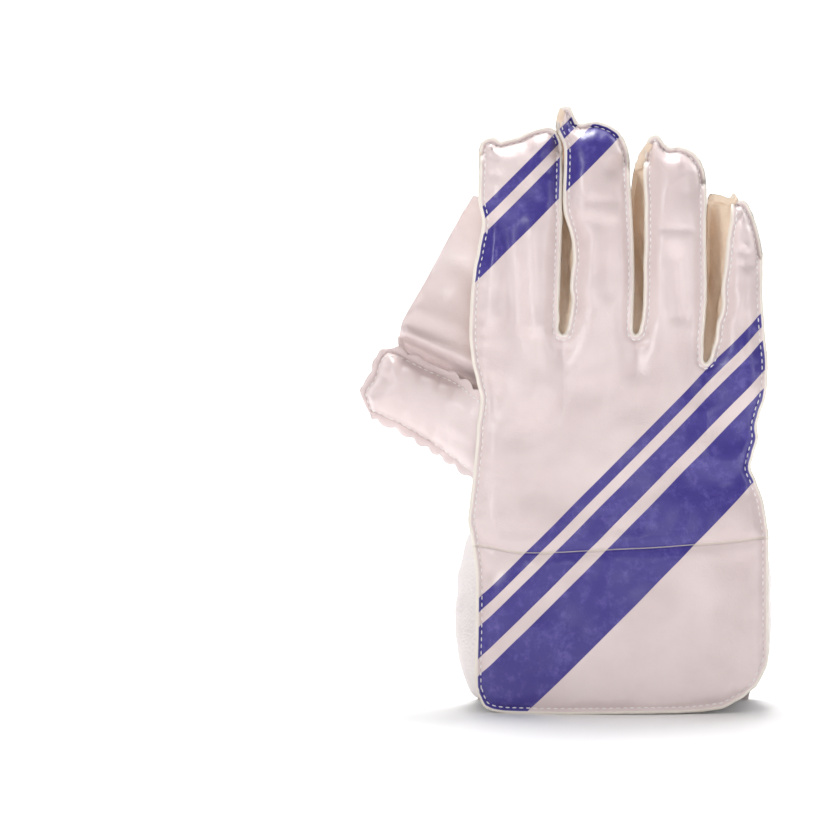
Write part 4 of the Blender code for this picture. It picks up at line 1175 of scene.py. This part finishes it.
def inflate(x, z, outer, inner):
    """A closed pillow of cloth over the pad's grid, swollen by air inside."""
    pillow = layered("pad_air", x, z, outer, inner, [pad_leather], None)
    remesh = pillow.modifiers.new("even", "REMESH")
    remesh.mode, remesh.voxel_size = "VOXEL", PILLOW_CLOTH * MM
    flatten(pillow)
    before = coordinates(pillow.data)
    cloth = pillow.modifiers.new("air", "CLOTH")
    cloth.settings.use_pressure = True
    cloth.settings.uniform_pressure_force = AIR_PRESSURE
    cloth.settings.effector_weights.gravity = 0.0
    cloth.settings.quality = 6
    scene = bpy.context.scene
    for number in range(1, PILLOW_FRAMES + 1):
        scene.frame_set(number)
    held = bpy.context.evaluated_depsgraph_get()
    after = coordinates(pillow.evaluated_get(held).to_mesh())
    scene.frame_set(1)
    pillow.modifiers.clear()
    move = after - before
    far = np.linalg.norm(move, axis=1, keepdims=True)
    move *= np.minimum(1.0, PILLOW_CAP * MM / np.maximum(far, 1e-9))
    pillow.data.vertices.foreach_set("co", (before + move).ravel())
    pillow.data.update()
    return pillow


def cast(tree, x, z, sign):
    """Y, in mm, where a line along Y first meets a body from outside, or None."""
    start = Vector(((x + ORIGIN[0]) * MM, sign * 0.3, (z + ORIGIN[2]) * MM))
    hit, normal, _, _ = tree.ray_cast(start, Vector((0, -sign, 0)))
    if hit is None:
        return None
    return hit.y / MM - ORIGIN[1], normal


def tree_of(body):
    held = bpy.context.evaluated_depsgraph_get()
    return BVHTree.FromObject(body, held)


def cuff_pad():
    """The pillow on the palm side of the cuff, swollen like filled leather and sewn all round."""
    u, v, x, z = cuff_grid(pad_arch, PAD_HEIGHT, graded(PAD_SPAN, CUFF_STEP))
    base = palm_base(x, z)
    inset = np.minimum(np.minimum(u, 1 - u) * PAD_REACH[0], np.minimum(v, 1 - v) * PAD_REACH[1])
    full = 1.0 + PAD_PUFF * pad_swell(u, v)
    swell = 1.0 + 0.78 * PAD_PUFF * pad_swell(u, v)
    pillow = inflate(x, z, base + swell, base + (0 * swell - 2.4))
    tree = tree_of(pillow)
    found = [(cast(tree, *place, 1) or (under, None))[0] - under
             for *place, under in zip(x.ravel(), z.ravel(), base.ravel())]
    full = np.array(found).reshape(x.shape)
    bpy.data.objects.remove(pillow, do_unlink=True)
    for _ in range(2):
        full[1:-1, 1:-1] = (full[1:-1, 1:-1] * 4 + full[:-2, 1:-1] + full[2:, 1:-1]
                            + full[1:-1, :-2] + full[1:-1, 2:]) / 8
    mask = ease(2.8, 9.0, inset)
    flange = 1.2 + smooth(PAD_FLANGE, inset, 1)
    pulls = 0.5 * ripple(x, z, 12.0, 91) * ease(3.0, 6.0, inset) * (1 - ease(9.0, 24.0, inset))
    outer = base + mix(flange, np.maximum(full, flange), mask) + pulls
    outer = outer + 0.5 * ripple(x, z, 38.0, 93) * mask
    inner = np.minimum(base - 2.6, outer - 1.0)
    return layered("cuff_pillow", x, z, outer, inner, [pad_leather], unmarked(u.size))


# Stitches


def inset_rows(side):
    """Stitch paths inside a panel's outline, broken where the outline is too tight for them."""
    tour = side.rim_points
    tour = tour[np.r_[True, np.linalg.norm(np.diff(tour, axis=0), axis=1) > 1e-4]]
    gaps = lengths(tour)
    tour = along_path(tour, gaps, np.arange(0.0, gaps[-1], 0.5))
    tangent = np.roll(tour, -1, axis=0) - np.roll(tour, 1, axis=0)
    tangent /= np.maximum(np.linalg.norm(tangent, axis=1, keepdims=True), 1e-9)
    points = tour + FLANGE * np.stack([tangent[:, 1], -tangent[:, 0]], axis=1)
    far, _ = side.rim(points[:, 0], points[:, 1])
    runs = [[]]
    for point, fine in zip(points, far > FLANGE - 0.25):
        if not fine or (runs[-1] and np.hypot(*(point - runs[-1][-1])) >= 3.0):
            runs.append([])
        if fine:
            runs[-1].append(point)
    return [np.array(run) for run in runs if len(run) > 8]


def laid(path, body_tree, sign):
    """Points and outward directions of a path laid on a body from outside along Y."""
    runs = [([], [])]
    for x, z in resample(path, 1.0):
        found = cast(body_tree, x, z, sign)
        points = runs[-1][0]
        if found is None or (points and abs(points[-1][1] - found[0]) > STITCH_BREAK):
            runs.append(([], []))
        if found is not None:
            runs[-1][0].append((x, found[0] - sign * STITCH_SINK, z))
            runs[-1][1].append(tuple(found[1]))
    return [(np.array(points), np.array(outs)) for points, outs in runs if len(points) > 3]


STITCH_NODES = {
    "given": "NodeGroupInput", "out": "NodeGroupOutput", "curve": "GeometryNodeMeshToCurve",
    "even": "GeometryNodeResampleCurve", "ball": "GeometryNodeMeshUVSphere",
    "size": "ShaderNodeCombineXYZ", "spread": "GeometryNodeInstanceOnPoints",
    "along": "FunctionNodeAlignRotationToVector", "up": "FunctionNodeAlignRotationToVector",
    "outward": "GeometryNodeInputNamedAttribute", "tangent": "GeometryNodeInputTangent",
    "real": "GeometryNodeRealizeInstances", "soft": "GeometryNodeSetShadeSmooth",
    "dress": "GeometryNodeSetMaterial"}
STITCH_LINKS = [
    ("given", "Geometry", "curve", "Mesh"), ("curve", "Curve", "even", "Curve"),
    ("given", "Pitch", "even", "Length"), ("even", "Curve", "spread", "Points"),
    ("ball", "Mesh", "spread", "Instance"), ("tangent", "Tangent", "along", "Vector"),
    ("along", "Rotation", "up", "Rotation"), ("outward", "Attribute", "up", "Vector"),
    ("up", "Rotation", "spread", "Rotation"), ("given", "Length", "size", "X"),
    ("given", "Width", "size", "Y"), ("given", "Width", "size", "Z"),
    ("size", "Vector", "spread", "Scale"), ("spread", "Instances", "real", "Geometry"),
    ("real", "Geometry", "soft", "Geometry"), ("soft", "Geometry", "dress", "Geometry"),
    ("dress", "Geometry", "out", "Geometry")]


def stitch_tree():
    """Node tree that lays rounded stitches end to end along every edge path."""
    tree = bpy.data.node_groups.new("lay_stitches", "GeometryNodeTree")
    add_socket = tree.interface.new_socket
    add_socket("Geometry", in_out="INPUT", socket_type="NodeSocketGeometry")
    sockets = [add_socket(label, in_out="INPUT", socket_type="NodeSocketFloat").identifier
               for label in ("Pitch", "Length", "Width")]
    add_socket("Geometry", in_out="OUTPUT", socket_type="NodeSocketGeometry")
    node = {key: tree.nodes.new(kind) for key, kind in STITCH_NODES.items()}
    node["even"].mode = "LENGTH"
    node["outward"].data_type = "FLOAT_VECTOR"
    node["along"].axis, node["up"].axis, node["up"].pivot_axis = "X", "Z", "X"
    for key, name, value in (("ball", "Segments", 6), ("ball", "Rings", 5), ("ball", "Radius", 0.5),
                             ("outward", "Name", "outward"), ("dress", "Material", seam_thread)):
        node[key].inputs[name].default_value = value
    for source, output, target, entry in STITCH_LINKS:
        tree.links.new(node[source].outputs[output], node[target].inputs[entry])
    return tree, sockets


def stitches(name, runs, tree, sockets, sizes=(STITCH_PITCH, STITCH_LENGTH, STITCH_WIDTH)):
    """All stitches of some seams as one plain mesh."""
    points, edges, outs = [], [], []
    for run, directions in runs:
        first = len(points)
        points += run.tolist()
        outs += directions.tolist()
        edges += [(n, n + 1) for n in range(first, len(points) - 1)]
    mesh = bpy.data.meshes.new(name)
    mesh.from_pydata(((np.array(points) + ORIGIN) * MM).tolist(), edges, [])
    mesh.attributes.new("outward", "FLOAT_VECTOR", "POINT").data.foreach_set(
        "vector", np.array(outs, np.float32).ravel())
    made = bpy.data.objects.new(name, mesh)
    bpy.context.scene.collection.objects.link(made)
    laying = made.modifiers.new("stitches", "NODES")
    laying.node_group = tree
    for socket, value in zip(sockets, sizes):
        laying[socket] = value * MM
    flatten(made)
    return made


def gusset_seam(grid, start, end, row=5, lift=0.1):
    """A seam along one row of a wall's grid, standing a little proud of it."""
    normals = turned(grid)[row]
    part = slice(int(start * grid.shape[1]), int(end * grid.shape[1]))
    return grid[row, part] + normals[part] * lift, normals[part]


def dress(piece, *nodes, slot):
    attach(piece, "root")
    if nodes:
        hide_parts(*nodes)


def build_hand():
    """The two panels and the walls between them, with the seams that the gussets carry."""
    back_cover = panel("back_cover", BACK, [striped_vinyl, backing])
    palm_rubber = panel("palm_rubber", PALM, [rubber, backing], rib=True)
    cut_hole(palm_rubber)
    dress(back_cover, "back_panel", slot="white_vinyl")
    dress(palm_rubber, "palm_facing", slot="ribbed_rubber")
    seams = []
    for slit in range(3):
        made, grid = finger_gusset(slit)
        dress(made, f"finger_gusset_{slit + 1}", slot="beige_leather")
        seams += [gusset_seam(grid, 0.5, 0.90), gusset_seam(grid, 0.03, 0.5)]
    web_foot = float(thumb_edge(THUMB_BACK_EDGE, True)) + 1.2
    tops = [BACK.corner(0, 0)[1] - 1.5, BACK.corner(3, 1)[1] - 1.5]
    dress(side_leather("index_side_leather", 0, web_foot, tops[0], leather, 50),
          "index_side_wall", slot="beige_leather")
    dress(side_leather("little_side_leather", 1, PALM_FLOOR, tops[1], leather, 52),
          "little_side_wall", slot="beige_leather")

    def swell(most, foot):
        def at(z):
            rise = np.sin(math.pi * np.clip((z - foot) / (PALM_FLOOR - foot), 0, 1))
            return most * np.maximum(rise, 0.0) ** 0.5 + 0.9 * ripple(z, 0.0 * z, 17.0, 77) * rise
        return at

    thumb_side = float(thumb_edge(THUMB_BACK_EDGE, False)) - 0.8
    dress(side_leather("cuff_gusset_thumb", 0, 6.5, thumb_side, cuff_leather, 54, swell(10.5, 5.0),
                       CUFF_LEATHER), "cuff_side_thumb", slot="white_leather")
    dress(side_leather("cuff_gusset_little", 1, 11.0, PALM_FLOOR - 0.6, cuff_leather, 56,
                       swell(4.5, 6.0), CUFF_LEATHER), "cuff_side_little", slot="white_leather")
    return back_cover, palm_rubber, seams


def build_thumb():
    """The thumb's two halves, the walls in its hole and the web."""
    def meet_back(x, z):
        return middle(z) - BACK.plain(x, z, 0)[0] + 4.4

    def meet_palm(x, z):
        return middle(z) + PALM.plain(x, z, 0)[0]

    cover = thumb_half("thumb_back_cover", -1, thumb_back_start, meet_back, [plain_vinyl, backing])
    dress(cover, "thumb_back", slot="white_vinyl")
    front = thumb_half("thumb_rubber", 1, thumb_facing_start, meet_palm, [rubber, backing],
                       THUMB_TUCK)
    dress(front, "thumb_facing", slot="ribbed_rubber")
    for name, upper in (("thumb_root_leather_low", False), ("thumb_root_leather_high", True)):
        dress(thumb_collar(name, upper), slot="white_leather")
    web, grid = web_sheet()
    dress(web, "web", slot="white_leather")
    return cover, front


def build_glove():
    tree, sockets = stitch_tree()
    back_cover, palm_rubber, gusset_seams = build_hand()
    thumb_cover, thumb_rubber = build_thumb()
    band = cuff_band()
    dress(band, "cuff_band", slot="white_leather")
    pad = cuff_pad()
    dress(pad, "cuff_pad", slot="white_leather")

    def on(body, sign, paths):
        held = tree_of(body)
        return [run for path in paths for run in laid(path, held, sign)]

    runs = on(back_cover, -1, inset_rows(BACK)) + on(palm_rubber, 1, inset_rows(PALM))
    runs += on(thumb_cover, -1, [thumb_outline(thumb_back_start)])
    runs += on(thumb_rubber, 1, [thumb_outline(thumb_facing_start)]) + gusset_seams
    dress(stitches("edge_stitches", runs, tree, sockets), slot="white_leather")

    band_rows = [[(x, PAD_HEIGHT + BAND_GAP + height) for x in (-70.0, -30.0, 10.0, 40.0, 72.0)]
                 for height in (1.4, BAND_HEIGHT - 1.2)]
    left, right = (float(limit) for limit in PALM.limits(8.0))
    hem = [(mix(left, right, s), float(pad_arch(s)) + 3.0) for s in np.linspace(0.03, 0.97, 60)]
    loop = [thumb_place(THUMB_LENGTH * a, THUMB_HALF * b) for a, b in THUMB_LOOP]
    runs = on(palm_rubber, 1, palm_seams) + on(band, 1, band_rows)
    runs += on(pad, 1, [hem]) + on(thumb_rubber, 1, [loop])
    dress(stitches("palm_stitches", runs, tree, sockets, PALM_STITCH), slot="white_leather")


# Stage


GLOVE_MIDDLE = (0.0, 0.0, 0.16)
LIGHTS = table(Light, [
    ("key", (-1.1, -1.2, 0.9), GLOVE_MIDDLE, (0.45, 0.7), 10.5),
    ("side", (1.3, -0.5, 0.5), GLOVE_MIDDLE, (0.25, 0.9), 3.2),
    ("front", (0.25, -1.8, 0.6), GLOVE_MIDDLE, (0.7, 0.5), 3.6),
    ("top", (0.0, 0.35, 1.2), (0.0, 0.0, 0.0), (0.5, 0.5), 14.0),
    ("rear", (1.1, 1.2, 0.9), (0.0, 0.0, 0.15), (0.5, 0.7), 3.4),
    ("rear_fill", (-1.0, 1.3, 0.5), (0.0, 0.0, 0.12), (0.9, 0.9), 2.0)])
WORLD_LIGHT = 0.22
FLOOR = (0.95, 0.95, 0.95)
FLOOR_DEEP = (0.93, 0.93, 0.93)
FLOOR_GLOW = (0.15, 0.6, 0.03, 0.71)    # from and to these distances, between these strengths
FLOOR_HALF = 4.0
FLOOR_START = -3.0
BEND_START = 1.8
BEND_RADIUS = 1.2
FLAT_ROWS, FLOOR_ROWS = 4, 24
CAMERA_DISTANCE = 2.0
CAMERA_ELEVATION = math.radians(3.5)
CAMERA_AIM = Vector((-0.0748, 0.0, 0.145))
VIEW_WIDTH = 0.416    # what the camera sees across, in metres
SENSOR = 36.0


def placed(name, data, place, aim):
    """An object that looks from one place at another."""
    made = bpy.data.objects.new(name, data)
    bpy.context.scene.collection.objects.link(made)
    made.location = place
    made.rotation_euler = (Vector(aim) - Vector(place)).to_track_quat("-Z", "Y").to_euler()
    return made


def light_world():
    """A world that is white where the camera sees it and dimmer as a light."""
    world = bpy.data.worlds.new("studio")
    bpy.context.scene.world = world
    world.use_nodes = True
    nodes, link = world.node_tree.nodes, world.node_tree.links.new
    nodes["Background"].inputs["Color"].default_value = (1.0, 1.0, 1.0, 1.0)
    ray, strength = (nodes.new(kind) for kind in ("ShaderNodeLightPath", "ShaderNodeMapRange"))
    strength.inputs["To Min"].default_value = WORLD_LIGHT
    strength.inputs["To Max"].default_value = 1.0
    link(ray.outputs["Is Camera Ray"], strength.inputs["Value"])
    link(strength.outputs["Result"], nodes["Background"].inputs["Strength"])


def floor_finish():
    """Pale floor that glows more with the distance, so that it fades into the world."""
    make = Nodes("pale_floor", 0.6)
    color = make.blend(make.ramp(make.noise(3.0, 2.0), 0.2, 0.8), FLOOR_DEEP, FLOOR)
    make.shader.inputs["Emission Color"].default_value = (1.0, 1.0, 1.0, 1.0)
    far = make.add("ShaderNodeVectorMath", operation="LENGTH")
    make.feed(far.inputs[0], make.object_place)
    glow = make.ramp(far.outputs["Value"], *FLOOR_GLOW)
    make.feed(make.shader.inputs["Emission Strength"], glow)
    return make.finish(color, make.grained(60.0, 0.1))


def curved_floor():
    """A flat floor that bends up into a wall behind the glove."""
    profile = [(FLOOR_START + 1.2 * n, 0.0) for n in range(FLAT_ROWS + 1)]
    for n in range(FLAT_ROWS + 1, FLOOR_ROWS + 1):
        angle = (n - FLAT_ROWS) / (FLOOR_ROWS - FLAT_ROWS) * math.pi / 2
        profile.append((BEND_START + BEND_RADIUS * math.sin(angle),
                        BEND_RADIUS - BEND_RADIUS * math.cos(angle)))
    profile.append((3.0, 4.0))
    points = [(x, y, z) for y, z in profile for x in (-FLOOR_HALF, FLOOR_HALF)]
    faces = [(2 * n, 2 * n + 1, 2 * n + 3, 2 * n + 2) for n in range(len(profile) - 1)]
    mesh = bpy.data.meshes.new("pale_floor")
    mesh.from_pydata(points, [], faces)
    mesh.materials.append(floor_finish())
    mesh.shade_smooth()
    floor = bpy.data.objects.new("pale_floor", mesh)
    bpy.context.scene.collection.objects.link(floor)


def stage_and_light():
    scene = bpy.context.scene
    scene.view_settings.view_transform = "Standard"
    light_world()
    curved_floor()
    for light in LIGHTS:
        data = bpy.data.lights.new(light.name, "AREA")
        data.shape, data.size, data.size_y = "RECTANGLE", light.size[0], light.size[1]
        data.energy = light.power
        placed(light.name, data, light.place, light.aim)
    data = bpy.data.cameras.new("photo_view")
    data.sensor_width = SENSOR
    data.lens = SENSOR * CAMERA_DISTANCE / VIEW_WIDTH
    data.clip_start, data.clip_end = 0.05, 20.0
    back_off = Vector((0.0, -math.cos(CAMERA_ELEVATION), math.sin(CAMERA_ELEVATION)))
    scene.camera = placed("photo_view", data, CAMERA_AIM + back_off * CAMERA_DISTANCE, CAMERA_AIM)


build_glove()
stage_and_light()
